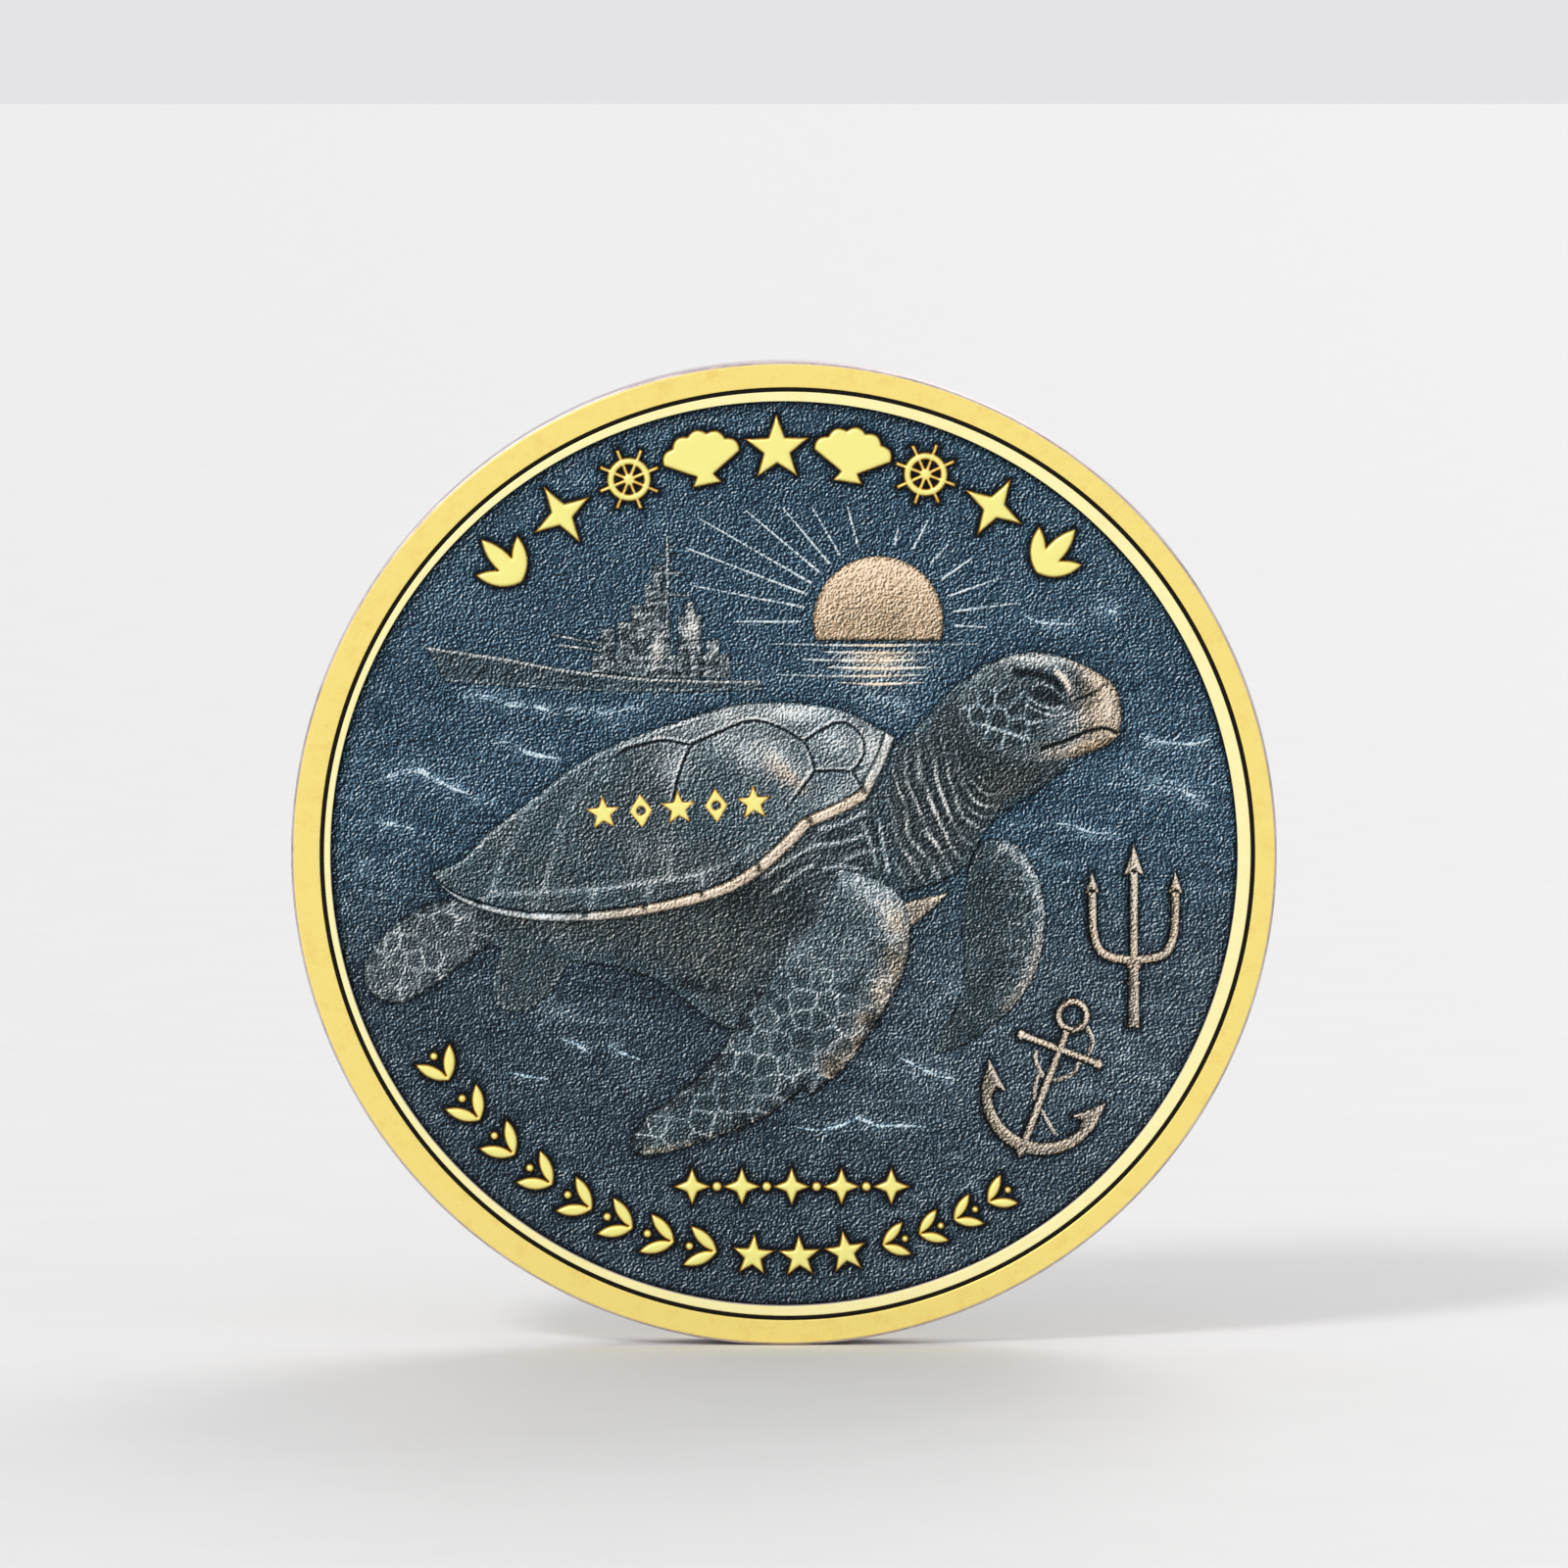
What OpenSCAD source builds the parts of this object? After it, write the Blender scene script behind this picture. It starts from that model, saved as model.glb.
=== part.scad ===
// Challenge coin: a struck blank with plated bands, enamel fills and relief pieces on both faces.
// Millimetres. The coin stands on its edge: front face towards -Y, +Z up, origin at the coin's centre.
//
// Each face is drawn flat first, with x to the right, y up and z out of the face from the coin's
// middle plane. on_front() and on_back() then stand it up. Every piece on a face seats on the field
// or on the blank's rim, and what one relief piece covers is cut out of the piece beside it.

/* [Coin] */
// Diameter over the plain edge
coin_d = 44.45; // [36:0.05:60]
// Thickness over both rims
coin_t = 3; // [2.5:0.05:4]
// Chamfer along both corners of the edge
edge_chamfer = 0.11; // [0.05:0.01:0.2]

/* [Rim] */
// Width of the gold band where it is not thinned by the off-centre groove
band_w = 1.03; // [0.7:0.01:1.6]
// Thickness of the gold band
band_t = 0.12; // [0.06:0.01:0.2]
// Width of the black enamel groove
groove_w = 0.2; // [0.12:0.01:0.4]
// Depth of the black enamel groove below the blank's rim
groove_depth = 0.15; // [0.08:0.01:0.25]
// How far the groove is struck off centre, towards the right of the front face
groove_offset = 0.15; // [0:0.01:0.2]
// Width of the pale inner ring where it is not thinned by the off-centre groove
inner_ring_w = 0.43; // [0.35:0.01:0.8]
// Thickness of the pale inner ring
inner_ring_t = 0.1; // [0.05:0.01:0.2]

/* [Field] */
// Depth of the blank's recess below the rim
recess_depth = 0.62; // [0.45:0.01:0.75]
// Thickness of the navy enamel on the recess floor
field_t = 0.12; // [0.06:0.01:0.2]

/* [Turtle heights above the field] */
// Carapace, up to the foot of its scutes
carapace_h = 0.28; // [0.1:0.01:0.35]
// Scutes, above the carapace
scute_h = 0.08; // [0.04:0.01:0.1]
// Width of the seams between the scutes
seam_w = 0.12; // [0.06:0.01:0.2]
// Bright lower edge of the carapace
carapace_rim_h = 0.38; // [0.1:0.01:0.45]
// Head
head_h = 0.36; // [0.1:0.01:0.45]
// Neck
neck_h = 0.2; // [0.08:0.01:0.4]
// Belly and shoulder
body_h = 0.12; // [0.05:0.01:0.3]
// Near front flipper
front_flipper_h = 0.28; // [0.1:0.01:0.45]
// Near rear flipper
rear_flipper_h = 0.18; // [0.06:0.01:0.3]
// Both flippers on the far side
far_flipper_h = 0.1; // [0.05:0.01:0.3]

/* [Other relief heights above the field] */
// Sun
sun_h = 0.3; // [0.1:0.01:0.45]
// Rays, ripples and wave crests
line_h = 0.06; // [0.03:0.01:0.15]
// Warship
ship_h = 0.15; // [0.05:0.01:0.3]
// Trident and anchor
emblem_h = 0.2; // [0.08:0.01:0.4]
// Gold ornaments on the field
ornament_h = 0.3; // [0.1:0.01:0.45]
// Gold ornaments on the carapace, above its scutes
shell_ornament_h = 0.08; // [0.04:0.01:0.1]

/* [Back face] */
// Number of beads in the border
bead_count = 72; // [36:4:96]
// Diameter of one bead
bead_d = 0.9; // [0.5:0.05:1]
// Height of the beads, the rope ring and the compass rose above the field
back_relief_h = 0.3; // [0.1:0.01:0.45]

/* [Hidden] */

$fn = 180;

// Radii from the edge inwards
coin_r = coin_d / 2;
band_outer_r = coin_r - edge_chamfer;
groove_outer_r = band_outer_r - band_w;
groove_inner_r = groove_outer_r - groove_w;
field_r = groove_inner_r - inner_ring_w;

// Levels above the coin's middle plane
rim_z = coin_t / 2;
seat_z = rim_z - band_t;
groove_z = seat_z - groove_depth;
floor_z = rim_z - recess_depth;
field_z = floor_z + field_t;

// The artwork is drawn for a field of this radius and grows or shrinks with the field
drawn_r = 20.45;
art_scale = field_r / drawn_r;

// Room left by a tool that cuts past a face
cut = 1;
// Steps of a curve from one of its points to the next
curve_steps = 4;
// The enamel in the groove stands this far above the blank's rim
groove_crown = 0.02;

gold = "gold";
pale_gold = "khaki";
navy = "darkslategray";
pewter = "slategray";
bronze = "tan";

// ---------- Placing ----------

module on_front() rotate([90, 0, 0]) children();

module on_back() rotate([90, 0, 180]) children();

// A piece that seats on the field: its flat shapes, h high and joined
module relief(h) translate([0, 0, field_z])
    for (i = [0 : $children - 1]) linear_extrude(height = h) children(i);

// ---------- Curves and outlines ----------

// Point at t of the way from b to c on the smooth curve through a, b, c and d
function curve_point(a, b, c, d, t) =
    (2 * b + (c - a) * t + (2 * a - 5 * b + 4 * c - d) * t * t + (3 * b - a - 3 * c + d) * t * t * t) / 2;

// Smooth curve through the points p, without its last point
function smooth(p) = [
    for (i = [0 : len(p) - 2], s = [0 : curve_steps - 1])
        curve_point(p[max(i - 1, 0)], p[i], p[i + 1], p[min(i + 2, len(p) - 1)], s / curve_steps)
];

// Closed outline of smooth stretches that meet at corners: each starts where the last one ended
function outline(stretches) = [for (p = stretches) for (q = smooth(p)) q * art_scale];

// Smooth open line through the points p
function smooth_line(p) = [for (q = concat(smooth(p), [p[len(p) - 1]])) q * art_scale];

// Unit vector to the left of the line p at its point i
function left_of(p, i) =
    let (d = p[min(i + 1, len(p) - 1)] - p[max(i - 1, 0)])
    [-d.y, d.x] / norm(d);

// Outline of a stroke along the line p, with the half widths half, one for each point
function stroke_outline(p, half) = concat(
    [for (i = [0 : len(p) - 1]) p[i] + left_of(p, i) * half[i]],
    [for (i = [len(p) - 1 : -1 : 0]) p[i] - left_of(p, i) * half[i]]
);

// Stroke that tapers evenly from w0 wide to w1 wide
module stroke(points, w0, w1) {
    p = smooth_line(points);
    n = len(p) - 1;
    polygon(stroke_outline(p, [for (i = [0 : n]) art_scale * (w0 + (w1 - w0) * i / n) / 2]));
}

// Stroke that is w wide in the middle and thins out towards both ends
module crest(points, w) {
    thin_end = 0.25;
    p = smooth_line(points);
    n = len(p) - 1;
    polygon(stroke_outline(p, [
        for (i = [0 : n]) art_scale * w * (thin_end + (1 - thin_end) * sin(180 * i / n)) / 2
    ]));
}

// Place a child on the face by artwork coordinates
module at(x, y) translate([x, y] * art_scale) children();

// Disc by artwork size
module disc(r) circle(r = r * art_scale);

// ---------- Blank ----------

// Rim and recess of one face, taken out of the blank's upper half
module face_cuts() {
    translate([0, 0, floor_z]) cylinder(r = field_r, h = recess_depth + cut);
    translate([groove_offset, 0, groove_z]) difference() {
        cylinder(r = groove_outer_r, h = groove_depth + cut);
        translate([0, 0, -cut]) cylinder(r = groove_inner_r, h = groove_depth + 3 * cut);
    }
}

module coin_blank() color("silver") difference() {
    rotate([90, 0, 0]) rotate_extrude() polygon([
        [0, -seat_z],
        [coin_r - edge_chamfer, -seat_z],
        [coin_r, edge_chamfer - seat_z],
        [coin_r, seat_z - edge_chamfer],
        [coin_r - edge_chamfer, seat_z],
        [0, seat_z],
    ]);
    on_front() face_cuts();
    on_back() face_cuts();
}

// ---------- Rings and fields, the same on both faces ----------

module gold_band() color(gold) translate([0, 0, seat_z]) difference() {
    cylinder(r = band_outer_r, h = band_t);
    translate([groove_offset, 0, -cut]) cylinder(r = groove_outer_r, h = band_t + 2 * cut);
}

module enamel_groove() color("black") translate([groove_offset, 0, groove_z]) difference() {
    cylinder(r = groove_outer_r, h = groove_depth + groove_crown);
    translate([0, 0, -cut]) cylinder(r = groove_inner_r, h = groove_depth + 2 * cut);
}

module inner_ring() color(pale_gold) translate([0, 0, seat_z]) difference() {
    translate([groove_offset, 0, 0]) cylinder(r = groove_inner_r, h = inner_ring_t);
    translate([0, 0, -cut]) cylinder(r = field_r, h = inner_ring_t + 2 * cut);
}

module enamel_field() color(navy) translate([0, 0, floor_z]) cylinder(r = field_r, h = field_t);

module front_gold_band() on_front() gold_band();
module front_enamel_groove() on_front() enamel_groove();
module front_inner_ring() on_front() inner_ring();
module front_field() on_front() enamel_field();
module back_gold_band() on_back() gold_band();
module back_enamel_groove() on_back() enamel_groove();
module back_inner_ring() on_back() inner_ring();
module back_field() on_back() enamel_field();

// ---------- Turtle outlines ----------

module carapace_shape() polygon(outline([
    [[-15.9, -0.8], [-14.6, -0.3], [-13.4, 0.9], [-11.6, 2.3], [-9.4, 4], [-7.4, 5.05], [-4.6, 6.05],
     [-2.2, 6.75], [0.2, 6.85], [2.6, 6.5], [5, 5.3]],
    [[5, 5.3], [4.5, 4], [3.7, 2.45]],
    [[3.7, 2.45], [2.5, 1.8], [1.2, 1.25]],
    [[1.2, 1.25], [0.2, 0.2], [-1.1, -0.95], [-2.6, -1.8], [-4.6, -2.4], [-7, -2.85], [-9.5, -3.05],
     [-12, -2.9], [-14.2, -2.3], [-15.4, -1.5], [-15.9, -0.8]],
]));

// The bright edge is what shows past a copy of the carapace moved up and back
module moved_carapace_shape() at(-0.35, 0.42) carapace_shape();

module carapace_rim_shape() difference() {
    carapace_shape();
    moved_carapace_shape();
}

module carapace_top_shape() intersection() {
    carapace_shape();
    moved_carapace_shape();
}

module head_shape() polygon(outline([
    [[7.85, 7.2], [8.6, 8.2], [9.7, 8.8], [11.2, 9.15], [12.6, 8.9], [14, 8.3], [14.9, 7.6], [15.2, 6.6],
     [15.15, 5.4]],
    [[15.15, 5.4], [14.6, 4.95], [13.4, 4.45], [12.2, 4.15], [11, 3.85]],
    [[11, 3.85], [10, 4.1], [9, 4.7], [8.2, 5.6], [7.8, 6.4], [7.85, 7.2]],
]));

module neck_shape() polygon(outline([
    [[4.9, 4.9], [5.8, 5.6], [6.8, 6.6], [7.6, 7.5], [8.6, 8.2]],
    [[8.6, 8.2], [11, 6], [13.2, 4.4]],
    [[13.2, 4.4], [12.4, 3.6], [11.2, 2.7], [10.1, 2], [9.3, 1.3], [8.8, 0.5], [8.4, -0.4]],
    [[8.4, -0.4], [7.4, -1.1], [6.3, -1.5], [5.2, -1.7]],
    [[5.2, -1.7], [4.7, 0.4], [4.3, 2.6], [4.9, 4.9]],
]));

module body_shape() polygon(outline([
    [[-14.5, -2.1], [-13.4, -4], [-12, -4.4], [-9.6, -4.85], [-7.6, -5.1], [-5.8, -5.7], [-4.4, -6.7],
     [-3.2, -7.6], [-2.2, -8]],
    [[-2.2, -8], [1, -4.5], [5.3, -1.8]],
    [[5.3, -1.8], [5.2, 1.6], [5, 5]],
    [[5, 5], [-5, 1], [-14.5, -2.1]],
]));

module near_front_flipper_shape() polygon(outline([
    [[2.4, -0.6], [3.8, -0.95], [4.9, -1.55], [5.6, -2.4], [5.75, -3.4], [5.5, -5], [4.8, -6.6],
     [3.9, -8.1], [2.7, -9.7], [1.2, -10.9]],
    [[1.2, -10.9], [0.9, -10.5]],
    [[0.9, -10.5], [-0.3, -11.5], [-1.9, -12.4], [-3.6, -13], [-5.2, -13.5], [-6.4, -13.65],
     [-6.95, -13.3], [-6.8, -12.6], [-6.1, -11.8], [-4.9, -10.9], [-3.8, -10], [-2.9, -9],
     [-2.2, -7.8], [-1.5, -6.5], [-0.8, -5.2], [0.1, -4], [1.1, -3.1], [1.6, -2.2], [1.9, -1.2],
     [2.4, -0.6]],
]));

module claw_shape() polygon(outline([
    [[5.3, -2.2], [6.4, -1.95], [7.4, -1.75]],
    [[7.4, -1.75], [6.8, -2.4], [5.6, -3.4]],
    [[5.6, -3.4], [5.3, -2.2]],
]));

module far_front_flipper_shape() polygon(outline([
    [[9.3, 0.7], [10.2, 0.65], [11, -0.1], [11.6, -1.4], [11.85, -2.9], [11.6, -4.6], [11, -6.1],
     [9.9, -7.4], [8.4, -8.5], [7.2, -9], [6.75, -8.8], [7.2, -7.9], [7.9, -6.6], [8.1, -4.9],
     [8, -3], [8.2, -1.2], [8.6, 0.1], [9.3, 0.7]],
]));

module near_rear_flipper_shape() polygon(outline([
    [[-13.4, -2.4], [-14.6, -2.1], [-15.8, -2.2], [-17, -2.8], [-18.2, -3.8], [-18.95, -5.1],
     [-18.7, -6.2], [-17.6, -6.75], [-16.4, -6.35], [-15.3, -5.6], [-14.5, -4.9], [-13.3, -4.15]],
    [[-13.3, -4.15], [-13, -3.3], [-13.4, -2.4]],
]));

module far_rear_flipper_shape() polygon(outline([
    [[-9.3, -4], [-9.7, -5], [-10.5, -6.2], [-11.4, -7], [-12.4, -7.15], [-13.15, -6.6],
     [-13.1, -5.4], [-12.7, -4]],
    [[-12.7, -4], [-9.3, -4]],
]));

// Seams between the scutes: first the long ones, then the short ones across the marginal scutes
scute_seams = [
    [[-7, 4.8], [-5.5, 5.15], [-4.2, 4.95]],
    [[-4.2, 4.95], [-3, 5.5], [-1.5, 6.05], [-0.2, 5.75], [0.9, 5.1]],
    [[0.9, 5.1], [1.9, 5.75], [2.8, 5.95], [3.5, 5.3], [3.6, 4.5], [3.1, 3.75]],
    [[0.9, 5.1], [1.2, 4.5], [1.4, 3.75]],
    [[3.1, 3.75], [2.2, 3.8], [1.4, 3.75]],
    [[1.4, 3.75], [0.9, 3.1], [0.4, 2.4]],
    [[0.4, 2.4], [-0.6, 1.3], [-1.6, 0.3], [-3.8, -0.85], [-6, -1.2], [-8, -1.5], [-10, -1.65],
     [-13.2, -1.75]],
    [[-7, 4.8], [-8.3, 3.9], [-9.4, 2.6], [-10.2, 0.9], [-10.5, -0.3], [-10.9, -1.65]],
    [[-4.2, 4.95], [-4.8, 3.4], [-5.1, 1.5], [-5.15, -1.05]],
    [[-11.2, 2.3], [-12.2, 0.9], [-12.8, -0.4], [-13.2, -1.75]],
];
marginal_seams = [
    [[0.4, 2.4], [1.2, 1.5]],
    [[-1.5, 0.4], [-1.1, -0.7]],
    [[-3.7, -0.9], [-3.7, -1.8]],
    [[-6, -1.2], [-6.3, -2.4]],
    [[-8.5, -1.6], [-9, -2.7]],
    [[-10.9, -1.7], [-11.5, -2.6]],
    [[-13.2, -1.75], [-13.8, -2.2]],
    [[3.1, 3.75], [3.6, 2.9]],
];

// ---------- Turtle pieces ----------

module carapace() color(pewter) on_front() relief(carapace_h) carapace_top_shape();

// Seam with round ends, a little wider than the seam, so that seams that meet leave no sliver
module seam(line) {
    end_r = 0.7 * seam_w;
    stroke(line, seam_w, seam_w);
    for (end = [line[0], line[len(line) - 1]]) at(end.x, end.y) disc(end_r);
}

// The scutes are what the seams leave of the carapace's top
module carapace_scutes() color(pewter) on_front() translate([0, 0, carapace_h])
    relief(scute_h) difference() {
        carapace_top_shape();
        for (line = concat(scute_seams, marginal_seams)) seam(line);
    }

module carapace_rim() color(bronze) on_front() relief(carapace_rim_h) carapace_rim_shape();

module turtle_head() color(pewter) on_front() relief(head_h) head_shape();

module turtle_neck() color(pewter) on_front() relief(neck_h) difference() {
    neck_shape();
    carapace_shape();
    head_shape();
    near_front_flipper_shape();
    claw_shape();
}

module turtle_body() color("dimgray") on_front() relief(body_h) difference() {
    body_shape();
    carapace_shape();
    neck_shape();
    near_front_flipper_shape();
    claw_shape();
    near_rear_flipper_shape();
}

module near_front_flipper() color(pewter) on_front() relief(front_flipper_h) near_front_flipper_shape();

module flipper_claw() color(bronze) on_front() relief(rear_flipper_h) difference() {
    claw_shape();
    near_front_flipper_shape();
}

module far_front_flipper() color(pewter) on_front() relief(far_flipper_h) difference() {
    far_front_flipper_shape();
    neck_shape();
}

module near_rear_flipper() color(pewter) on_front() relief(rear_flipper_h) difference() {
    near_rear_flipper_shape();
    carapace_shape();
}

module far_rear_flipper() color(pewter) on_front() relief(far_flipper_h) difference() {
    far_rear_flipper_shape();
    body_shape();
}

// Everything of the turtle that stands in front of the sea
module turtle_shape() {
    carapace_shape();
    head_shape();
    neck_shape();
}

// ---------- Sun, sea and ship ----------

sun_x = 4.25;
sun_y = 10.5;
sun_r = 2.95;
horizon_y = 9.65;

// Each ray: its angle, and its two ends measured from the sun's centre
sun_ray_list = [
    [-3, 3.4, 4.9], [7.6, 3.4, 6.4], [19.8, 3.4, 5.9], [34, 3.4, 5.1], [48, 3.5, 4.7], [64, 3.6, 5.1],
    [78, 3.5, 4.3], [105, 3.5, 5.4], [120, 3.4, 5.9], [130, 3.4, 6.7], [140, 3.4, 7.8], [150, 3.4, 9.4],
    [159, 3.4, 9.3], [169, 3.4, 8.6], [180, 3.5, 6.4],
];
ray_w = 0.14;

module sun() color("burlywood") on_front() relief(sun_h) difference() {
    at(sun_x, sun_y) disc(sun_r);
    at(sun_x - 2 * sun_r, horizon_y - 2 * sun_r) square([4, 2] * sun_r * art_scale);
}

module sun_rays() color("silver") on_front() relief(line_h) at(sun_x, sun_y)
    for (ray = sun_ray_list) rotate(ray[0]) stroke([[ray[1], 0], [ray[2], 0]], ray_w, ray_w / 2);

// Each ripple: its two ends along the horizon, its level, and its width
ripple_list = [
    [-0.7, 9, 9.5, 0.14], [1.6, 7, 9.15, 0.16], [0.8, 6.6, 8.8, 0.16], [1.8, 6.9, 8.45, 0.16],
    [-0.4, 6.4, 8.1, 0.12], [2.4, 6.2, 7.75, 0.14],
];
ripple_sag = 0.07;

module sea_ripples() color("silver") on_front() relief(line_h) difference() {
    for (ripple = ripple_list) {
        middle = (ripple[0] + ripple[1]) / 2;
        crest([[ripple[0], ripple[2]], [middle, ripple[2] - ripple_sag], [ripple[1], ripple[2]]], ripple[3]);
    }
    turtle_shape();
}

// Each wave crest: its greatest width and the points along it
wave_list = [
    [0.34, [[-14.7, 6.9], [-14, 7.2], [-13, 6.95], [-12, 6.75], [-11, 6.6], [-10.2, 6.3]]],
    [0.2, [[-10, 6.5], [-9, 6.6], [-8, 6.35], [-7, 6.55], [-6, 6.6]]],
    [0.26, [[-13.2, 5], [-12.4, 5.05], [-11.6, 4.6], [-10.8, 4.4], [-10, 4.3]]],
    [0.3, [[-18.6, 3.2], [-17.5, 3.6], [-16.5, 3.8], [-15.8, 3.4], [-15, 3], [-14.2, 2.7]]],
    [0.18, [[-18.4, 1.4], [-17.4, 1.3], [-16.6, 1.1]]],
    [0.26, [[16.3, 3.4], [17.2, 3.1], [17.9, 2.9], [18.6, 2.5], [19.2, 2.1]]],
    [0.2, [[16, 5.3], [17.3, 5], [18.5, 5], [19.3, 5.2]]],
    [0.18, [[12.2, 1.4], [13, 1.3], [13.8, 1], [15.2, 0.9]]],
    [0.18, [[10.8, 10.8], [11.4, 10.5], [12.3, 10.4], [13.6, 10.4]]],
    [0.26, [[13.7, 10.9], [14.4, 11.1], [15.2, 10.8]]],
    [0.24, [[-10, -8.4], [-9.4, -8.6], [-8.8, -9]]],
    [0.2, [[-8, -8.6], [-7.3, -9], [-6.5, -9.3]]],
    [0.18, [[-12.4, -9.9], [-11.4, -10.1], [-10.6, -10.2]]],
    [0.22, [[0.6, -12.4], [1.6, -12.5], [2.6, -12.3], [3.4, -12], [4.2, -12.3], [5.5, -12.3], [6.8, -12.4]]],
    [0.2, [[5.2, -9.2], [6, -9.6], [6.8, -10], [7.8, -10.2]]],
];

module wave_crests() color("lightsteelblue") on_front() relief(line_h)
    for (wave = wave_list) crest(wave[1], wave[0]);

module hull_shape() polygon(outline([
    [[-16.2, 9.4], [-13, 8.95], [-10, 8.4], [-7, 8.05], [-4, 7.9], [-1, 7.85]],
    [[-1, 7.85], [-1, 7.4]],
    [[-1, 7.4], [-4, 7.3], [-9, 7.35], [-13, 7.6], [-15.3, 7.8]],
    [[-15.3, 7.8], [-16.2, 9.4]],
]));

module warship_hull() color("dimgray") on_front() relief(ship_h / 2) difference() {
    hull_shape();
    turtle_shape();
}

// Each block of the ship's upper works: left side, right side and top, from the deck up
deck_blocks = [
    [-8.7, -2.4, 9], [-8.3, -7.6, 10.2], [-7.5, -5.1, 10.5], [-6.9, -5.2, 11.3], [-6.3, -5.3, 12.2],
    [-5.95, -5.45, 13.1], [-4.8, -3.7, 10.8], [-4.5, -4, 11.4], [-3.5, -2.9, 9.7],
];
deck_y = 7.95;
mast_x = -5.25;
mast_w = 0.14;
mast_top = 14.4;
// Each yard: its level on the mast and its length
yards = [[12.7, 1.5], [13.5, 0.9], [11.7, 2.1]];
// Each gun barrel: its two ends, forward of the tower
barrels = [[[-8, 9.45], [-10.4, 9.9]], [[-8, 9.15], [-10.1, 9.45]]];
barrel_w = 0.18;

module warship_deckworks() color(pewter) on_front() difference() {
    union() {
        for (block = deck_blocks)
            relief(ship_h) at(block[0], deck_y) square([block[1] - block[0], block[2] - deck_y] * art_scale);
        for (yard = yards)
            relief(ship_h) stroke([[mast_x - yard[1] / 2, yard[0]], [mast_x + yard[1] / 2, yard[0]]],
                mast_w, mast_w);
        for (barrel = barrels) relief(ship_h) stroke(barrel, barrel_w, barrel_w);
        relief(ship_h) stroke([[mast_x, deck_y], [mast_x, mast_top]], 2 * mast_w, mast_w);
    }
    translate([0, 0, -cut]) relief(2 * cut) hull_shape();
}

// ---------- Trident and anchor ----------

trident_x = 15.75;
prong_top = -1.7;
bow_y = -4.8;
prong_gap = 1.88;
prong_w = 0.36;
shaft_end = -7.9;
collar_l = 0.64;
collar_w = 0.2;

// Point of a spear, its base centred on the origin
module spear_point(w, h)
    polygon([[-w / 2, -0.12 * h], [0, 0.06 * h], [w / 2, -0.12 * h], [0, h]] * art_scale);

// Band round the shaft at the height y
module collar(y) at(trident_x - collar_l / 2, y - collar_w / 2) square([collar_l, collar_w] * art_scale);

module trident() color(bronze) on_front() relief(emblem_h) {
    stroke([[trident_x, -0.8], [trident_x, bow_y]], prong_w, prong_w);
    stroke([[trident_x, bow_y], [trident_x, shaft_end]], 1.2 * prong_w, 1.35 * prong_w);
    collar(-5.1);
    collar(-5.85);
    stroke([
        [trident_x - prong_gap, prong_top], [trident_x - 0.96 * prong_gap, bow_y + 1.2],
        [trident_x - 0.7 * prong_gap, bow_y + 0.25], [trident_x, bow_y],
        [trident_x + 0.7 * prong_gap, bow_y + 0.25], [trident_x + 0.96 * prong_gap, bow_y + 1.2],
        [trident_x + prong_gap, prong_top],
    ], prong_w, prong_w);
    at(trident_x, -0.85) spear_point(1, 1.3);
    at(trident_x - prong_gap, prong_top) spear_point(0.72, 0.95);
    at(trident_x + prong_gap, prong_top) spear_point(0.72, 0.95);
}

// The anchor is drawn upright with its crown at the origin, then leaned and placed
crown_x = 10.65;
crown_y = -13.5;
anchor_lean = -20.8;
arm_r = 2.77;
arm_w = 0.42;
shank_l = 5.9;
shank_w = 0.34;
stock_y = 4.97;
stock_l = 3.7;
stock_ball_r = 0.24;
shackle_y = 6.6;
shackle_r = 0.8;
shackle_w = 0.32;

module place_anchor() at(crown_x, crown_y) rotate(anchor_lean) children();

// Curved arms: the lower part of a ring round the shank
module anchor_arms() difference() {
    at(0, arm_r) difference() {
        disc(arm_r);
        at(0, 0.2) disc(arm_r - arm_w);
    }
    at(-2 * arm_r, arm_r) square([4, 2] * arm_r * art_scale);
}

// One fluke on the right arm: a broad barbed point
module fluke() polygon([[2.85, 3.5], [1.55, 2.35], [2.05, 2.3], [2.2, 1.3], [2.75, 2.1]] * art_scale);

module anchor_shank() stroke([[0, 0.1], [0, shank_l]], 1.2 * shank_w, shank_w);

module anchor_stock() stroke([[-stock_l / 2, stock_y], [stock_l / 2, stock_y]], shank_w, shank_w);

module anchor() color(bronze) on_front() place_anchor() relief(emblem_h) {
    anchor_arms();
    fluke();
    mirror([1, 0]) fluke();
    polygon([[-0.5, 0.35], [0, -0.3], [0.5, 0.35]] * art_scale);
    anchor_shank();
    anchor_stock();
    at(-stock_l / 2, stock_y) disc(stock_ball_r);
    at(stock_l / 2, stock_y) disc(stock_ball_r);
}

module anchor_ring() color(bronze) on_front() place_anchor() relief(emblem_h) difference() {
    at(0, shackle_y) disc(shackle_r);
    at(0, shackle_y) disc(shackle_r - shackle_w);
    anchor_shank();
}

// The rope hangs from the shackle and passes behind the stock and the shank
rope_w = 0.2;
rope_turns = [
    [[0.75, 6.4], [1.25, 5.9], [1.3, 5.3], [1.05, 4.7], [0.9, 4.1], [0, 3.5], [-0.8, 4.1], [-0.95, 4.6]],
    [[-0.55, 3.9], [-0.3, 2.6], [0.45, 1.9], [1.2, 1.3]],
];

module anchor_rope() color(bronze) on_front() place_anchor() relief(line_h) difference() {
    for (turn = rope_turns) stroke(turn, rope_w, rope_w);
    anchor_arms();
    anchor_shank();
    anchor_stock();
    at(0, shackle_y) disc(shackle_r);
}

// ---------- Gold ornaments ----------

// Star with n points, its first point up
module star(n, r, inner) polygon([
    for (i = [0 : 2 * n - 1]) let (a = 90 + 180 * i / n, q = i % 2 == 0 ? r : r * inner) [cos(a), sin(a)] * q
] * art_scale);

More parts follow.
